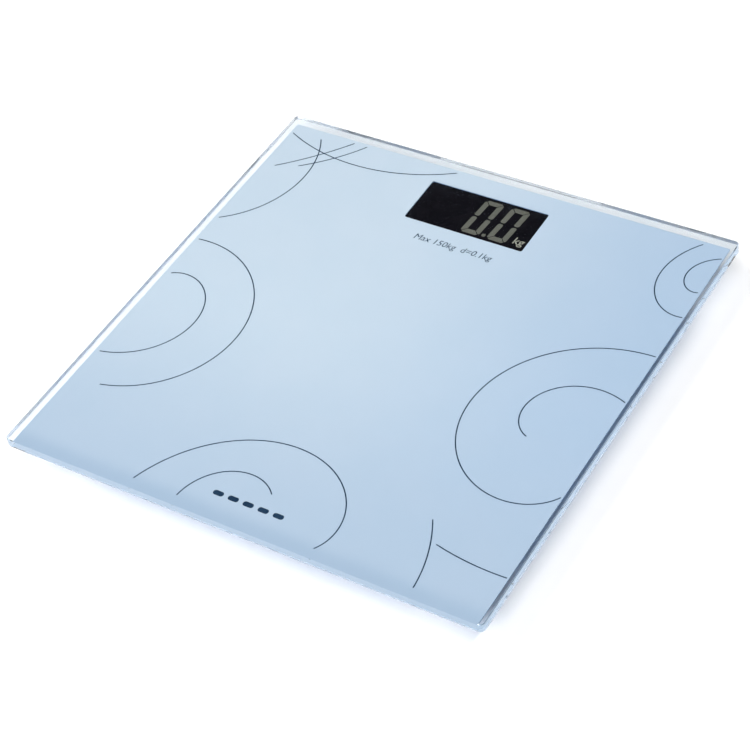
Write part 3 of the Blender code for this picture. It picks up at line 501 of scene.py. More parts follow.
def battery_paint(name, positive_side):
    """A printed sleeve with a light band at its positive end, and bare plated ends."""
    paint = new_paint(name, 0.3)
    low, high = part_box(name)
    length = maths(paint, "MULTIPLY", axis_value(paint, "X"), float(positive_side))
    top = high.x if positive_side > 0 else -low.x
    bare_top = ramp(paint, length, top - SLEEVE_START, top - SLEEVE_START + PRINT_EDGE)
    bare_base = ramp(paint, length, top - SLEEVE_END + PRINT_EDGE, top - SLEEVE_END)
    band = ramp(paint, length, top - BAND_END, top - BAND_END + 2 * PRINT_EDGE)
    rule = maths(paint, "COMPARE", length, top - RULE_AT)
    rule.node.inputs[2].default_value = RULE_WIDTH / 2
    print_noise = ramp(paint, noise(paint, 240, 3.0), 0.3, 0.7)
    sleeve = mixed(paint, print_noise, (0.035, 0.11, 0.30), (0.05, 0.15, 0.36))
    sleeve = mixed(paint, band, sleeve, (0.60, 0.62, 0.64))
    sleeve = mixed(paint, rule, sleeve, (0.60, 0.62, 0.64))
    bare = maths(paint, "MAXIMUM", bare_top, bare_base)
    colour_from(paint, mixed(paint, bare, sleeve, (0.70, 0.69, 0.66)))
    link(paint, bare, shader_of(paint).inputs["Metallic"])
    roughness_from(paint, noise(paint, 600), 0.22, 0.36)
    return paint


def repaint(paint, *names):
    for name in names:
        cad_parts[name].material_slots[0].material = paint


def paint_cad_nodes():
    """Gives every CAD node that stays in view its own worked-up material."""
    white = speckled("white_abs", (0.80, 0.81, 0.82), (0.74, 0.75, 0.765), 0.45, 1500, 0.03 * MM)
    grey = speckled("grey_abs", (0.47, 0.49, 0.52), (0.40, 0.42, 0.45), 0.5, 1500, 0.03 * MM)
    rubber = speckled("foot_rubber", (0.14, 0.14, 0.148), (0.075, 0.075, 0.08), 0.82, 1100, 0.06 * MM)
    steel = speckled(
        "plated_steel", (0.70, 0.70, 0.71), (0.54, 0.54, 0.56), 0.3, 900, 0.01 * MM, 1.0, (1, 14, 1)
    )
    nickel = speckled(
        "nickel_plate", (0.78, 0.75, 0.70), (0.64, 0.61, 0.56), 0.24, 1200, 0.01 * MM, 1.0
    )
    foam = speckled("foam_tape", (0.90, 0.90, 0.88), (0.70, 0.70, 0.68), 0.9, 2200, 0.12 * MM)
    tape = speckled(
        "film_tape", (0.80, 0.77, 0.62), (0.70, 0.67, 0.52), 0.25, 500, 0.03 * MM, 0.0, (6, 1, 1)
    )
    gel = speckled("white_gel", (0.90, 0.90, 0.88), (0.82, 0.82, 0.80), 0.35, 300, 0.15 * MM)
    resin = speckled("black_resin", (0.035, 0.035, 0.037), (0.015, 0.015, 0.016), 0.22, 160, 0.2 * MM)
    black = speckled("black_abs", (0.045, 0.045, 0.047), (0.025, 0.025, 0.026), 0.4, 1500, 0.02 * MM)
    button = speckled("blue_button", (0.12, 0.25, 0.46), (0.08, 0.19, 0.38), 0.4, 1500, 0.03 * MM)
    red = speckled("red_sheath", (0.60, 0.04, 0.035), (0.46, 0.02, 0.02), 0.4, 900)
    dark = speckled("black_sheath", (0.04, 0.04, 0.04), (0.015, 0.015, 0.015), 0.4, 900)
    repaint(white, "housing_tray", "battery_door")
    for corner in CORNERS:
        repaint(foam, "sensor_adhesive_" + corner)
        repaint(gel, "gauge_gel_" + corner)
        repaint(tape, "lead_tape_" + corner)
    repaint(steel, "hinge_pin", "board_screw_1", "board_screw_2", "switch_plunger")
    repaint(nickel, "spring_1", "spring_2", "contact_bridge", "contact_positive", "contact_negative")
    repaint(foam, "housing_adhesive")
    repaint(resin, "chip_blob")
    repaint(black, "switch_body")
    repaint(button, "unit_button")
    repaint(red, "battery_lead_positive")
    repaint(dark, "battery_lead_negative")
    repaint(back_print_paint(), "back_print")
    repaint(board_paint(), "circuit_board")
    repaint(light_guide_paint(), "backlight", "lcd_frame")
    repaint(zebra_paint(), "contact_strip")
    repaint(battery_paint("battery_1", 1), "battery_1")
    repaint(battery_paint("battery_2", -1), "battery_2")
    return {
        "steel": steel,
        "white": white,
        "grey": grey,
        "rubber": rubber,
        "red": red,
        "black": dark,
    }


# ---------------------------------------------------------------- mesh helpers


def finish_mesh(name, bm, paints, sharp=35):
    """A linked object from bm, with smooth faces that are sharp across edges over an angle."""
    mesh = bpy.data.meshes.new(name)
    bm.to_mesh(mesh)
    bm.free()
    mesh.shade_smooth()
    mesh.set_sharp_from_angle(angle=math.radians(sharp))
    made = bpy.data.objects.new(name, mesh)
    for paint in paints:
        mesh.materials.append(paint)
    bpy.context.scene.collection.objects.link(made)
    return made


def rounded_outline(low, high, radius, steps=CORNER_STEPS):
    """The outline of a rectangle with rounded corners, anticlockwise, as (x, y) points."""
    points = []
    for quarter in range(4):
        x = high[0] - radius if quarter in (0, 3) else low[0] + radius
        y = high[1] - radius if quarter in (0, 1) else low[1] + radius
        for i in range(steps + 1):
            angle = (quarter + i / steps) * math.pi / 2
            points.append((x + radius * math.cos(angle), y + radius * math.sin(angle)))
    return points


def bridge(bm, lower, upper):
    """Faces between two closed rings of points."""
    count = len(lower)
    return [
        bm.faces.new((lower[i], lower[(i + 1) % count], upper[(i + 1) % count], upper[i]))
        for i in range(count)
    ]


def slim_plate(name, outline, heights, paints, rim=0.0):
    """A closed plate with straight sides from an anticlockwise outline."""
    bm = bmesh.new()
    low, high = heights
    lower = [bm.verts.new((x, y, low)) for x, y in outline]
    upper = [bm.verts.new((x, y, high)) for x, y in outline]
    bridge(bm, lower, upper)
    bm.faces.new(list(reversed(lower)))
    bm.faces.new(upper)
    made = finish_mesh(name, bm, paints)
    if rim:
        chamfer = made.modifiers.new("rim", "BEVEL")
        chamfer.width = rim
        chamfer.segments = 2
        chamfer.angle_limit = math.radians(50)
    return made


# ---------------------------------------------------------------- glass platform


def scroll_strip(x, y, first, last, start, end):
    """The outline of one scroll line of even width, with slim ends."""
    sweep = math.radians(end - start)
    count = max(8, round(abs(sweep) * max(first, last) * MM / LINE_STEP))
    inner, outer = [], []
    for i in range(count + 1):
        t = i / count
        angle = math.radians(start) + sweep * t
        radius = first + (last - first) * t
        ray = Vector((math.cos(angle), math.sin(angle)))
        along = Vector((-ray.y, ray.x)) * radius + ray * (last - first) / sweep
        half = LINE_WIDTH / 2 * min(1.0, 0.9 + 20 * t, 0.9 + 20 * (1 - t))
        across = Vector((along.y, -along.x)).normalized() * half
        centre = (Vector((x, y)) + ray * radius) * MM
        inner.append(centre - across)
        outer.append(centre + across)
    outline = outer + inner[::-1]
    return outline if sweep > 0 else outline[::-1]


def text_faces(words, size, middle, shear=0.0, weight=0.0):
    """The filled faces of a line of text about a middle point, as lists of (x, y) points."""
    curve = bpy.data.curves.new("words", "FONT")
    curve.body = words
    curve.size = size
    curve.shear = shear
    curve.offset = weight
    curve.align_x = "CENTER"
    curve.align_y = "CENTER"
    curve.resolution_u = 3
    maker = bpy.data.objects.new("words", curve)
    bpy.context.scene.collection.objects.link(maker)
    bpy.context.view_layer.update()
    mesh = maker.evaluated_get(bpy.context.evaluated_depsgraph_get()).to_mesh()
    faces = [
        [(mesh.vertices[v].co.xy + Vector(middle)) for v in face.vertices] for face in mesh.polygons
    ]
    maker.to_mesh_clear()
    bpy.data.objects.remove(maker)
    bpy.data.curves.remove(curve)
    return faces


def dash_row():
    """Round-ended dashes near the front edge."""
    dashes = []
    for i in range(DASH_COUNT):
        shift = Vector(((i - (DASH_COUNT - 1) / 2) * DASH_PITCH, 0))
        low, high = (DASH_MIDDLE + shift + DASH_SIZE * k for k in (-0.5, 0.5))
        dashes.append(rounded_outline(low, high, DASH_CORNER, 4))
    return dashes


# Places of the coat, the window and the frame in the list of regions; the ink's regions follow them
IN_COAT, IN_WINDOW, IN_FRAME = 1, 2, 3


def glass_slab(clear, coat, line):
    """The glass as one closed body. Its bottom face is divided into bare glass, coat and ink, which
    touch the glass with no air between."""
    low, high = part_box("glass_platform")
    coat_low, coat_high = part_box("back_print")
    rim = Vector((GLASS_CHAMFER, GLASS_CHAMFER, 0))
    full = rounded_outline(low, high, GLASS_CORNER)
    inset = rounded_outline(low + rim, high - rim, GLASS_CORNER - GLASS_CHAMFER)
    regions = [
        inset,
        rounded_outline(coat_low, coat_high, COAT_CORNER),
        rounded_outline(WINDOW_LOW, WINDOW_HIGH, WINDOW_CORNER, 4),
        rounded_outline(*INK_FRAME, INK_FRAME_CORNER, 1),
    ]
    regions += [scroll_strip(*scroll) for scroll in SCROLLS]
    regions += dash_row()
    regions += text_faces(*CAPACITY)
    points, faces = [], []
    for outline in regions:
        faces.append(list(range(len(points), len(points) + len(outline))))
        points += [Vector(p[:2]) for p in outline]
    places, _, cells, _, _, sources = delaunay_2d_cdt(points, [], faces, 1, 1e-7, True)
    bm = bmesh.new()
    floor = [bm.verts.new((p.x, p.y, low.z)) for p in places]
    for cell, source in zip(cells, sources):
        if not source:
            continue
        face = bm.faces.new([floor[i] for i in reversed(cell)])
        if max(source) > IN_FRAME and IN_FRAME in source:
            face.material_index = 2
        elif IN_COAT in source and IN_WINDOW not in source:
            face.material_index = 1
    rings = [
        [bm.verts.new((x, y, z)) for x, y in outline]
        for outline, z in (
            (inset, low.z),
            (full, low.z + GLASS_CHAMFER),
            (full, high.z - GLASS_CHAMFER),
            (inset, high.z),
        )
    ]
    for lower, upper in zip(rings, rings[1:]):
        bridge(bm, lower, upper)
    bm.faces.new(rings[-1])
    bmesh.ops.remove_doubles(bm, verts=bm.verts, dist=1e-6)
    slab = finish_mesh("glass_slab", bm, (clear, coat, line))
    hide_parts("glass_platform")
    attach(slab, "platform")


# ---------------------------------------------------------------- display


def display_paint():
    light, dark = (0.008, 0.007, 0.0095), (0.005, 0.0045, 0.0065)
    return speckled("dark_polariser", light, dark, 0.14, 120, specular_ior_level=0.12)


def figure_paint(name, light):
    warm = (light, 0.955 * light, 0.76 * light)
    deep = tuple(0.85 * v for v in warm)
    return speckled(name, warm, deep, 0.45, 900, specular_ior_level=0.15)


def display_panel(paint):
    """The panel's two glasses, the lower one shorter than the upper one."""
    low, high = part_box("lcd_panel")
    seam = low.z + (high.z - low.z) * PANEL_SPLIT
    whole = rounded_outline(low, high, PANEL_CORNER, 3)
    upper = slim_plate("lcd_upper_glass", whole, (seam, high.z), (paint,), PANEL_RIM)
    short = rounded_outline(low, high - Vector((0, PANEL_SHELF, 0)), PANEL_CORNER, 3)
    lower = slim_plate("lcd_lower_glass", short, (low.z, seam - PANEL_SEAM), (paint,), PANEL_RIM)
    for piece in (upper, lower):
        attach(piece, "platform")
    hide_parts("lcd_panel")


def level_bar():
    """The top bar of a figure, mitred at both ends, anticlockwise."""
    wide, tall, half, gap, tip = (
        FIGURE_HALF_WIDTH, FIGURE_HALF_HEIGHT, FIGURE_HALF_STROKE, FIGURE_GAP, FIGURE_TIP
    )
    end = [
        (wide - half - gap, tall - half),
        (wide + half - gap - tip, tall + half - tip),
        (wide + half - gap - 2 * tip, tall + half),
    ]
    return end + [(-x, y) for x, y in reversed(end)]


def upright_bar():
    """The upper right bar of a figure, mitred at its top and rounded at its lower end."""
    wide, tall, half, gap, tip = (
        FIGURE_HALF_WIDTH, FIGURE_HALF_HEIGHT, FIGURE_HALF_STROKE, FIGURE_GAP, FIGURE_TIP
    )
    foot = 2.0 * gap
    return [
        (wide - half, foot + tip),
        (wide - half + tip, foot),
        (wide + half - tip, foot),
        (wide + half, foot + tip),
        (wide + half, tall + half - gap - 2 * tip),
        (wide + half - tip, tall + half - gap - tip),
        (wide - half, tall - half - gap),
    ]


def figure_outlines(centre_x):
    """The six lit bars of a nought, slanted."""
    bars = [[(x, y * side) for x, y in level_bar()][::side] for side in (1, -1)]
    for side_x in (1, -1):
        for side_y in (1, -1):
            bar = [(x * side_x, y * side_y) for x, y in upright_bar()]
            bars.append(bar[:: side_x * side_y])
    return [
        [Vector((centre_x + x + FIGURE_SLANT * y, FIGURE_Y + y)) for x, y in bar] for bar in bars
    ]


def display_figures():
    """The lit bars, the point and the unit, as thin raised films on the panel."""
    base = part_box("lcd_panel")[1].z + FILM_CLEARANCE
    outlines = [bar for x in FIGURE_CENTRES for bar in figure_outlines(x)]
    low, high = POINT_MIDDLE - POINT_REACH, POINT_MIDDLE + POINT_REACH
    outlines.append(rounded_outline(low, high, POINT_CORNER, 3))
    bm = bmesh.new()
    for outline in outlines:
        film(bm, outline, base)
    figures = finish_mesh("display_figures", bm, (figure_paint("lit_bars", 0.15),))
    bm = bmesh.new()
    for face in text_faces(*UNIT):
        film(bm, face, base)
    bmesh.ops.remove_doubles(bm, verts=bm.verts, dist=1e-7)
    drop_inner_walls(bm)
    unit = finish_mesh("display_unit", bm, (figure_paint("lit_unit", 0.42),))
    for piece in (figures, unit):
        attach(piece, "platform")


def film(bm, outline, base):
    """A closed thin film."""
    lower = [bm.verts.new((p[0], p[1], base)) for p in outline]
    upper = [bm.verts.new((p[0], p[1], base + FILM)) for p in outline]
    bridge(bm, lower, upper)
    bm.faces.new(list(reversed(lower)))
    bm.faces.new(upper)


def drop_inner_walls(bm):
    """Deletes the pairs of walls that stand back to back where films were joined."""
    walls = {}
    for face in bm.faces:
        walls.setdefault(tuple(sorted(v.index for v in face.verts)), []).append(face)
    twins = [face for pair in walls.values() if len(pair) > 1 for face in pair]
    bmesh.ops.delete(bm, geom=twins, context="FACES_ONLY")


# ---------------------------------------------------------------- sensors


def middle(name):
    low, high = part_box(name)
    return (low + high) / 2


def smooth_route(points, step):
    """Points about a step apart on a Catmull-Rom curve through the given ones."""
    stops = [Vector(p) for p in points]
    stops = [2 * stops[0] - stops[1], *stops, 2 * stops[-1] - stops[-2]]
    route = [stops[1]]
    for a, b, c, d in zip(stops, stops[1:], stops[2:], stops[3:]):
        count = max(2, round((c - b).length / step))
        for i in range(1, count + 1):
            t = i / count
            route.append(
                0.5
                * (
                    2 * b
                    + (c - a) * t
                    + (2 * a - 5 * b + 4 * c - d) * t**2
                    + (3 * b - a - 3 * c + d) * t**3
                )
            )
    return route


def lead_route(corner):
    """A lead's route from beside its load cell, up to the glass, and down into the box's side."""
    side_x, side_y = CORNERS[corner]
    foot = middle("foot_pad_" + corner)
    cell_low, cell_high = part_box("load_cell_" + corner)
    start = (cell_high.x - cell_low.x) / 2 + LEAD_OFF_CELL
    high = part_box("sensor_lead_" + corner)[1].z - LEAD_RADIUS
    wall_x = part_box("housing_tray")[1].x
    reach = abs(foot.x)
    if side_y < 0:
        box_y = FRONT_LEAD_Y
        leave, up = (BRACKET_RADIUS + rise for rise in FRONT_LEAD_RISE)
        route = [
            (foot.x, foot.y + start, LEAD_LOW),
            (foot.x, foot.y + leave, LEAD_LOW),
            (foot.x, foot.y + up, high),
        ]
        route += [(foot.x - side_x * inwards, y, high) for inwards, y in FRONT_LEAD_SWEEP]
    else:
        box_y = BACK_LEAD_Y
        leave, up = (BRACKET_RADIUS + rise for rise in BACK_LEAD_RISE)
        bend_x, bend_y = BACK_LEAD_BEND
        route = [
            (side_x * (reach - start), foot.y, LEAD_LOW),
            (side_x * (reach - leave), foot.y, LEAD_LOW),
            (side_x * (reach - up), foot.y + BACK_LEAD_SHIFT, high),
            (side_x * (wall_x + bend_x), box_y + bend_y, high),
        ]
    route += [(side_x * (wall_x + stop), box_y, LEAD_BOX) for stop in WALL_STOPS]
    route.append((side_x * LEAD_END_X, box_y, LEAD_BOX))
    return [Vector((*p.xy, min(p.z, high))) for p in smooth_route(route, WIRE_STEP)]


def frames_along(route):
    """A tangent, a level side vector and a third vector at each point of a route."""
    frames = []
    for i in range(len(route)):
        ahead = (route[min(i + 1, len(route) - 1)] - route[max(i - 1, 0)]).normalized()
        side = ahead.cross(Vector((0, 0, 1))).normalized()
        frames.append((ahead, side, side.cross(ahead)))
    return frames


def tube(bm, route, radius, sides=WIRE_SIDES):
    """A closed round tube along a route."""
    rings = []
    for place, (_, side, up) in zip(route, frames_along(route)):
        ring = []
        for k in range(sides):
            angle = k * math.tau / sides
            ring.append(bm.verts.new(place + (side * math.cos(angle) + up * math.sin(angle)) * radius))
        rings.append(ring)
    for lower, upper in zip(rings, rings[1:]):
        bridge(bm, lower, upper)
    bm.faces.new(rings[0])
    bm.faces.new(rings[-1][::-1])
    bmesh.ops.recalc_face_normals(bm, faces=bm.faces)


def sensor_lead(corner, paints):
    """Three thin wires, twisted together, from a load cell to the box."""
    route = lead_route(corner)
    frames = frames_along(route)
    travelled = [0.0]
    for a, b in zip(route, route[1:]):
        travelled.append(travelled[-1] + (b - a).length)
    for core, paint in enumerate(paints):
        strand = []
        for place, distance, (_, side, up) in zip(route, travelled, frames):
            angle = core * math.tau / 3 + distance * math.tau / WIRE_PITCH
            strand.append(place + (side * math.cos(angle) + up * math.sin(angle)) * WIRE_SPREAD)
        bm = bmesh.new()
        tube(bm, strand, WIRE_RADIUS)
        piece = finish_mesh("sensor_wire_%d_%s" % (core + 1, corner), bm, (paint,), 60)
        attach(piece, "platform")
        if core == 0:
            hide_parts("sensor_lead_" + corner)


def turned(name, paint, profile, centre, start=0.0, window=None):
    """A solid turned about a vertical axis from a profile of (radius, height) points, which begins
    and ends on the axis. window holds the profile's segments that are open for one step each side
    of the start angle: one on the outer wall and one on the inner wall."""
    bm = bmesh.new()
    rings = []
    for k in range(TURN_STEPS):
        angle = start + k * math.tau / TURN_STEPS
        rings.append(
            [
                bm.verts.new((centre.x + r * math.cos(angle), centre.y + r * math.sin(angle), z))
                for r, z in profile
            ]
        )
    for k in range(TURN_STEPS):
        a, b = rings[k], rings[(k + 1) % TURN_STEPS]
        for i in range(len(profile) - 1):
            if window and k in (0, TURN_STEPS - 1) and i in window:
                continue
            bm.faces.new((a[i], a[i + 1], b[i + 1], b[i]))
    if window:
        outer, inner = window
        before, here, after = rings[-1], rings[0], rings[1]
        for a, b in ((before, here), (here, after)):
            bm.faces.new((a[outer], b[outer], b[inner + 1], a[inner + 1]))
            bm.faces.new((a[outer + 1], b[outer + 1], b[inner], a[inner]))
        for a in (before, after):
            bm.faces.new((a[outer], a[outer + 1], a[inner], a[inner + 1]))
    bmesh.ops.remove_doubles(bm, verts=bm.verts, dist=1e-7)
    bmesh.ops.recalc_face_normals(bm, faces=bm.faces)
    return finish_mesh(name, bm, (paint,))


def sensor_bracket(corner, paint):
    """The cup that faces down from the glass, with the seat of the load cell inside it."""
    node_name = "sensor_bracket_" + corner
    low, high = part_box(node_name)
    roof = high.z - BRACKET_ROOF
    inner = BRACKET_RADIUS - BRACKET_WALL
    window_low, window_high = WINDOW_HEIGHTS
    profile = [
        (0, high.z),
        (BRACKET_RADIUS - BRACKET_RIM, high.z),
        (BRACKET_RADIUS, high.z - BRACKET_RIM),
        (BRACKET_RADIUS, window_high),
        (BRACKET_RADIUS, window_low),
        (BRACKET_RADIUS, low.z + BRACKET_RIM),
        (BRACKET_RADIUS - BRACKET_RIM, low.z),
        (inner + BRACKET_RIM / 2, low.z),
        (inner, low.z + BRACKET_RIM / 2),
        (inner, window_low),
        (inner, window_high),
        (inner, roof),
        (SEAT_RADII[1], roof),
        (SEAT_RADII[1], roof - SEAT_HEIGHT),
        (SEAT_RADII[0], roof - SEAT_HEIGHT),
        (SEAT_RADII[0], roof),
        (0, roof),
    ]
    side_x, side_y = CORNERS[corner]
    if side_y < 0:
        towards = math.pi / 2
    else:
        towards = math.pi if side_x > 0 else 0.0
    bracket = turned("bracket_" + corner, paint, profile, middle(node_name), towards, (3, 9))
    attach(bracket, "platform")
    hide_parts(node_name)


def sensor_foot(corner, cup_paint, pad_paint):
    """The moulded cup that pushes on the load cell, and the grooved rubber pad under it."""
    low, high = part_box("foot_cup_" + corner)
    pad_low, pad_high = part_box("foot_pad_" + corner)
    centre = (low + high) / 2
    radius = (high.x - low.x) / 2
    pad_radius = (pad_high.x - pad_low.x) / 2
    recess = pad_radius + PAD_CLEARANCE
    cup = turned(
        "cup_" + corner,
        cup_paint,
        [
            (0, high.z),
            (BOSS_RADIUS - CUP_RIM / 2, high.z),
            (BOSS_RADIUS, high.z - CUP_RIM / 2),
            (BOSS_RADIUS + CUP_RIM, FLANGE_TOP),
            (SKIRT_RADII[0], FLANGE_TOP),
            (SKIRT_RADII[0], SKIRT_TOP),
            (SKIRT_RADII[1], SKIRT_TOP),
            (SKIRT_RADII[1], FLANGE_TOP),
            (radius - CUP_RIM, FLANGE_TOP),
            (radius - CUP_RIM / 4, FLANGE_TOP - CUP_RIM / 4),
            (radius, FLANGE_TOP - CUP_RIM),
            (radius, low.z + CUP_RIM),
            (radius - CUP_RIM / 4, low.z + CUP_RIM / 4),
            (radius - CUP_RIM, low.z),
            (recess, low.z),
            (recess, pad_high.z + PAD_SINK),
            (0, pad_high.z + PAD_SINK),
        ],
        centre,
    )
    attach(cup, "foot_" + corner)
    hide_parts("foot_cup_" + corner)
    bottom = pad_low.z
    profile = [
        (0, pad_high.z),
        (pad_radius, pad_high.z),
        (pad_radius, bottom + PAD_EDGE),
        (pad_radius - PAD_EDGE / 3, bottom + PAD_EDGE / 3),
        (pad_radius - PAD_EDGE, bottom),
    ]
    for groove in PAD_GROOVES:
        outer, inner = groove + PAD_GROOVE_WIDTH / 2, groove - PAD_GROOVE_WIDTH / 2
        depth = bottom + PAD_GROOVE_DEPTH
        profile += [(outer, bottom), (outer, depth), (inner, depth), (inner, bottom)]
    profile.append((0, bottom))
    pad = turned("pad_" + corner, pad_paint, profile, centre)
    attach(pad, "foot_" + corner)
    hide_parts("foot_pad_" + corner)


def load_cell(corner, paint):
    """The sprung plate's ring, and its tongue, in rows from its root to its free end, with the bump
    under it that the foot pushes.
    """
    low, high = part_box("load_cell_" + corner)
    centre = (low + high) / 2
    bottom = low.z + BUMP_HEIGHT
    slot = TONGUE_HALF_WIDTH + TONGUE_SLOT
    free = TONGUE_FREE_END
    outer = rounded_outline(low, high, CELL_CORNER, 4)
    hole = [
        (centre.x - slot, centre.y + TONGUE_ROOT),
        (centre.x - slot, centre.y + free - TONGUE_SLOT),
        (centre.x + slot, centre.y + free - TONGUE_SLOT),
        (centre.x + slot, centre.y + TONGUE_ROOT),
    ]
    bm = bmesh.new()
    pierced_plate(bm, outer, hole, bottom, high.z)
    ring = finish_mesh("load_cell_ring_" + corner, bm, (paint,))
    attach(ring, "platform")
    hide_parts("load_cell_" + corner)
    bm = bmesh.new()
    length = free - TONGUE_ROOT
    stations = [TONGUE_ROOT + length * i / TONGUE_ROWS for i in range(TONGUE_ROWS + 1)]
    loops = []
    for y in stations:
        corners = ((1, bottom), (-1, bottom), (-1, high.z), (1, high.z))
        loops.append(
            [bm.verts.new((centre.x + s * TONGUE_HALF_WIDTH, centre.y + y, z)) for s, z in corners]
        )
    for first, second in zip(loops, loops[1:]):
        bridge(bm, first, second)
    bm.faces.new(loops[0][::-1])
    bm.faces.new(loops[-1])
    rounds = []
    for inset, rise in BUMP_RINGS:
        radius = BUMP_RADIUS - inset
        angles = [i * math.tau / BUMP_SIDES for i in range(BUMP_SIDES)]
        rounds.append(
            [
                bm.verts.new(
                    (centre.x + radius * math.cos(a), centre.y + radius * math.sin(a), low.z + rise)
                )
                for a in angles
            ]
        )
    for first, second in zip(rounds, rounds[1:]):
        bridge(bm, first, second)
    bm.faces.new(rounds[0])
    bm.faces.new(rounds[-1][::-1])
    bmesh.ops.recalc_face_normals(bm, faces=bm.faces)
    tongue = finish_mesh("load_cell_tongue_" + corner, bm, (paint,))
    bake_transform(tongue)


def pierced_plate(bm, outer, hole, bottom, top):
    """A closed plate with one hole, both given as outlines."""
    points = [Vector(p) for p in outer] + [Vector(p) for p in hole]
    count = len(outer)
    faces = [list(range(count)), list(range(count, len(points)))]
    places, _, cells, _, _, sources = delaunay_2d_cdt(points, [], faces, 1, 1e-7, True)
    lower = [bm.verts.new((p.x, p.y, bottom)) for p in places]
    upper = [bm.verts.new((p.x, p.y, top)) for p in places]
    kept = [cell for cell, source in zip(cells, sources) if list(source) == [0]]
    for cell in kept:
        bm.faces.new([lower[i] for i in reversed(cell)])
        bm.faces.new([upper[i] for i in cell])
    edges = {(a, b) for cell in kept for a, b in zip(cell, [*cell[1:], cell[0]])}
    for a, b in sorted(edges):
        if (b, a) not in edges:
            bm.faces.new((lower[a], lower[b], upper[b], upper[a]))


# ---------------------------------------------------------------- electronics box


def add_block(bm, low, high, rim):
    """A closed box with slightly rounded upright edges and a chamfered lower rim."""
    outline = rounded_outline(low, high, 2 * rim, 2)
    inner = rounded_outline((low.x + rim, low.y + rim), (high.x - rim, high.y - rim), rim, 2)
    rings = [
        [bm.verts.new((x, y, z)) for x, y in places]
        for places, z in ((inner, low.z), (outline, low.z + rim), (outline, high.z))
    ]
    for lower, upper in zip(rings, rings[1:]):
        bridge(bm, lower, upper)
    bm.faces.new(rings[0][::-1])
    bm.faces.new(rings[-1])


def door_ridges(paint):
    """Grip ridges on the outside of the battery door, beside its finger recess."""
    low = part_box("battery_door")[0]
    bm = bmesh.new()
    for side in (-1, 1):
        for i in range(RIDGE_COUNT):
            centre = Vector((side * (RIDGE_X + i * RIDGE_PITCH), low.y + RIDGE_INSET, low.z))
            reach = Vector((RIDGE_WIDTH, RIDGE_LENGTH, 0)) / 2
            bottom = Vector((0, 0, RIDGE_HEIGHT))
            add_block(bm, centre - reach - bottom, centre + reach + bottom, RIDGE_EDGE)
    ridges = finish_mesh("door_ridges", bm, (paint,))
    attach(ridges, "battery_door")


def board_parts():
    """Chip resistors and capacitors in rows round the resin-covered chip, under the board."""
    board_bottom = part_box("circuit_board")[0].z
    chip = middle("chip_blob")
    body = speckled("chip_part_body", (0.05, 0.048, 0.045), (0.025, 0.024, 0.022), 0.4, 1800)
    clay = speckled("chip_part_ceramic", (0.50, 0.36, 0.22), (0.40, 0.28, 0.16), 0.5, 1800)
    tin = speckled("chip_part_tin", (0.70, 0.70, 0.68), (0.56, 0.56, 0.54), 0.35, 2500, 0.0, 1.0)
    dark, pale, ends = bmesh.new(), bmesh.new(), bmesh.new()
    half = PART_SIZE / 2
    end = Vector((PART_END, 0, 0))
    lift = Vector((0, 0, PART_LIFT))
    for row, y in enumerate(PART_ROWS):
        for column in range(PART_COLUMNS):
            x = (column - PART_COLUMNS // 2) * PART_PITCH + row * ROW_SHIFT
            centre = Vector((chip.x + x, chip.y + y, board_bottom))
            low = centre - Vector((half.x, half.y, PART_SIZE.z))
            high = centre + Vector((half.x, half.y, 0))
            target = dark if (row + column) % 3 else pale
            add_block(target, low + end + lift, high - end, PART_EDGE)
            add_block(ends, low, Vector((low.x + PART_END, high.y, high.z)), PART_EDGE)
            add_block(ends, Vector((high.x - PART_END, low.y, low.z)), high, PART_EDGE)
    pieces = (("chip_resistors", dark, body), ("chip_capacitors", pale, clay), ("chip_ends", ends, tin))
    for name, bm, paint in pieces:
        piece = finish_mesh(name, bm, (paint,))
        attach(piece, "platform")


# ---------------------------------------------------------------- stage


def floor_paint():
    """Pale floor that can be looked at through from below."""
    light, dark = (0.93, 0.93, 0.935), (0.915, 0.915, 0.92)
    paint = speckled("pale_floor", light, dark, 0.9, 6, specular_ior_level=0.1)
    geometry = node(paint, "ShaderNodeNewGeometry")
    path = node(paint, "ShaderNodeLightPath")
    unseen = maths(paint, "MAXIMUM", geometry.outputs["Backfacing"], path.outputs["Is Shadow Ray"])
    open_to_lamps(paint, (1.0, 1.0, 1.0), unseen)
    return paint


def studio_floor():
    bm = bmesh.new()
    bmesh.ops.create_circle(bm, cap_ends=True, segments=64, radius=FLOOR_RADIUS)
    floor = finish_mesh("studio_floor", bm, (floor_paint(),))
    floor.location.z = -FLOOR_DROP


def softbox(name, azimuth, elevation, size, power):
    """A rectangular lamp aimed at the middle of the scale."""
    turn, rise = math.radians(azimuth), math.radians(elevation)
    towards = Vector(
        (math.sin(turn) * math.cos(rise), -math.cos(turn) * math.cos(rise), math.sin(rise))
    )
    lamp = bpy.data.lights.new(name, "AREA")
    lamp.shape = "RECTANGLE"
    lamp.size, lamp.size_y = size
    lamp.energy = power
    made = bpy.data.objects.new(name, lamp)
    made.location = towards * LAMP_DISTANCE
    made.rotation_euler = towards.to_track_quat("Z", "Y").to_euler()
    bpy.context.scene.collection.objects.link(made)


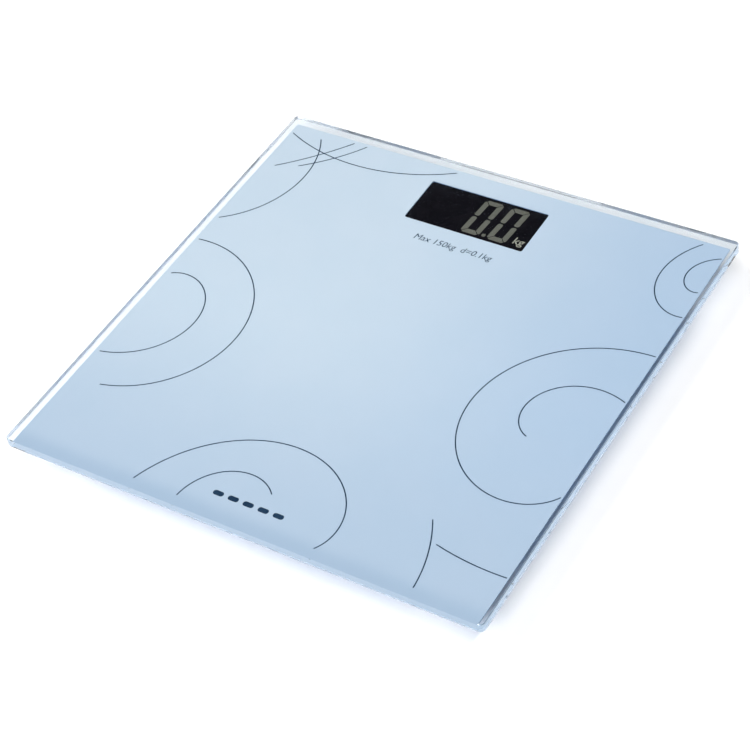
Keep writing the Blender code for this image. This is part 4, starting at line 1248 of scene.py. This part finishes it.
def studio_light():
    for lamp in LAMPS:
        softbox(*lamp)
    bpy.context.scene.cycles.caustics_refractive = False
    bpy.context.scene.cycles.caustics_reflective = False
    world = bpy.data.worlds.new("studio")
    world.use_nodes = True
    tree = world.node_tree
    sky = tree.nodes["Background"]
    direction = tree.nodes.new("ShaderNodeTexCoord")
    split = tree.nodes.new("ShaderNodeSeparateXYZ")
    height = tree.nodes.new("ShaderNodeMapRange")
    height.interpolation_type = "SMOOTHSTEP"
    limits = zip(("From Min", "From Max", "To Min", "To Max"), SKY_HEIGHTS + SKY_STRENGTHS)
    for socket, value in limits:
        height.inputs[socket].default_value = value
    tree.links.new(direction.outputs["Generated"], split.inputs["Vector"])
    tree.links.new(split.outputs["Z"], height.inputs["Value"])
    tree.links.new(height.outputs["Result"], sky.inputs["Strength"])
    sky.inputs["Color"].default_value = (1, 1, 1, 1)
    bpy.context.scene.world = world


def camera():
    azimuth, elevation, roll = (
        math.radians(v) for v in (CAMERA_AZIMUTH, CAMERA_ELEVATION, CAMERA_ROLL)
    )
    back = Vector(
        (
            math.sin(azimuth) * math.cos(elevation),
            -math.cos(azimuth) * math.cos(elevation),
            math.sin(elevation),
        )
    )
    level = Vector((math.cos(azimuth), math.sin(azimuth), 0))
    rise = back.cross(level)
    right = level * math.cos(roll) + rise * math.sin(roll)
    up = rise * math.cos(roll) - level * math.sin(roll)
    target = Vector((*CAMERA_TARGET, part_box("glass_platform")[1].z))
    data = bpy.data.cameras.new("camera")
    data.lens = CAMERA_LENS
    data.sensor_width = CAMERA_SENSOR
    data.clip_start = CAMERA_NEAR
    made = bpy.data.objects.new("camera", data)
    turn = Matrix((right, up, back)).transposed().to_4x4()
    made.matrix_world = Matrix.Translation(target + back * CAMERA_DISTANCE) @ turn
    bpy.context.scene.collection.objects.link(made)
    bpy.context.scene.camera = made


# ---------------------------------------------------------------- build


camera()
studio_floor()
studio_light()
bpy.context.scene.view_settings.view_transform = "Standard"
paints = paint_cad_nodes()
glass_slab(glass_paint("clear_glass", 0.02), coat_paint(), line_paint())
display_panel(display_paint())
display_figures()
for corner_name in CORNERS:
    sensor_lead(corner_name, (paints["red"], paints["black"], paints["white"]))
    sensor_bracket(corner_name, paints["white"])
    load_cell(corner_name, paints["steel"])
    sensor_foot(corner_name, paints["grey"], paints["rubber"])
door_ridges(paints["white"])
board_parts()
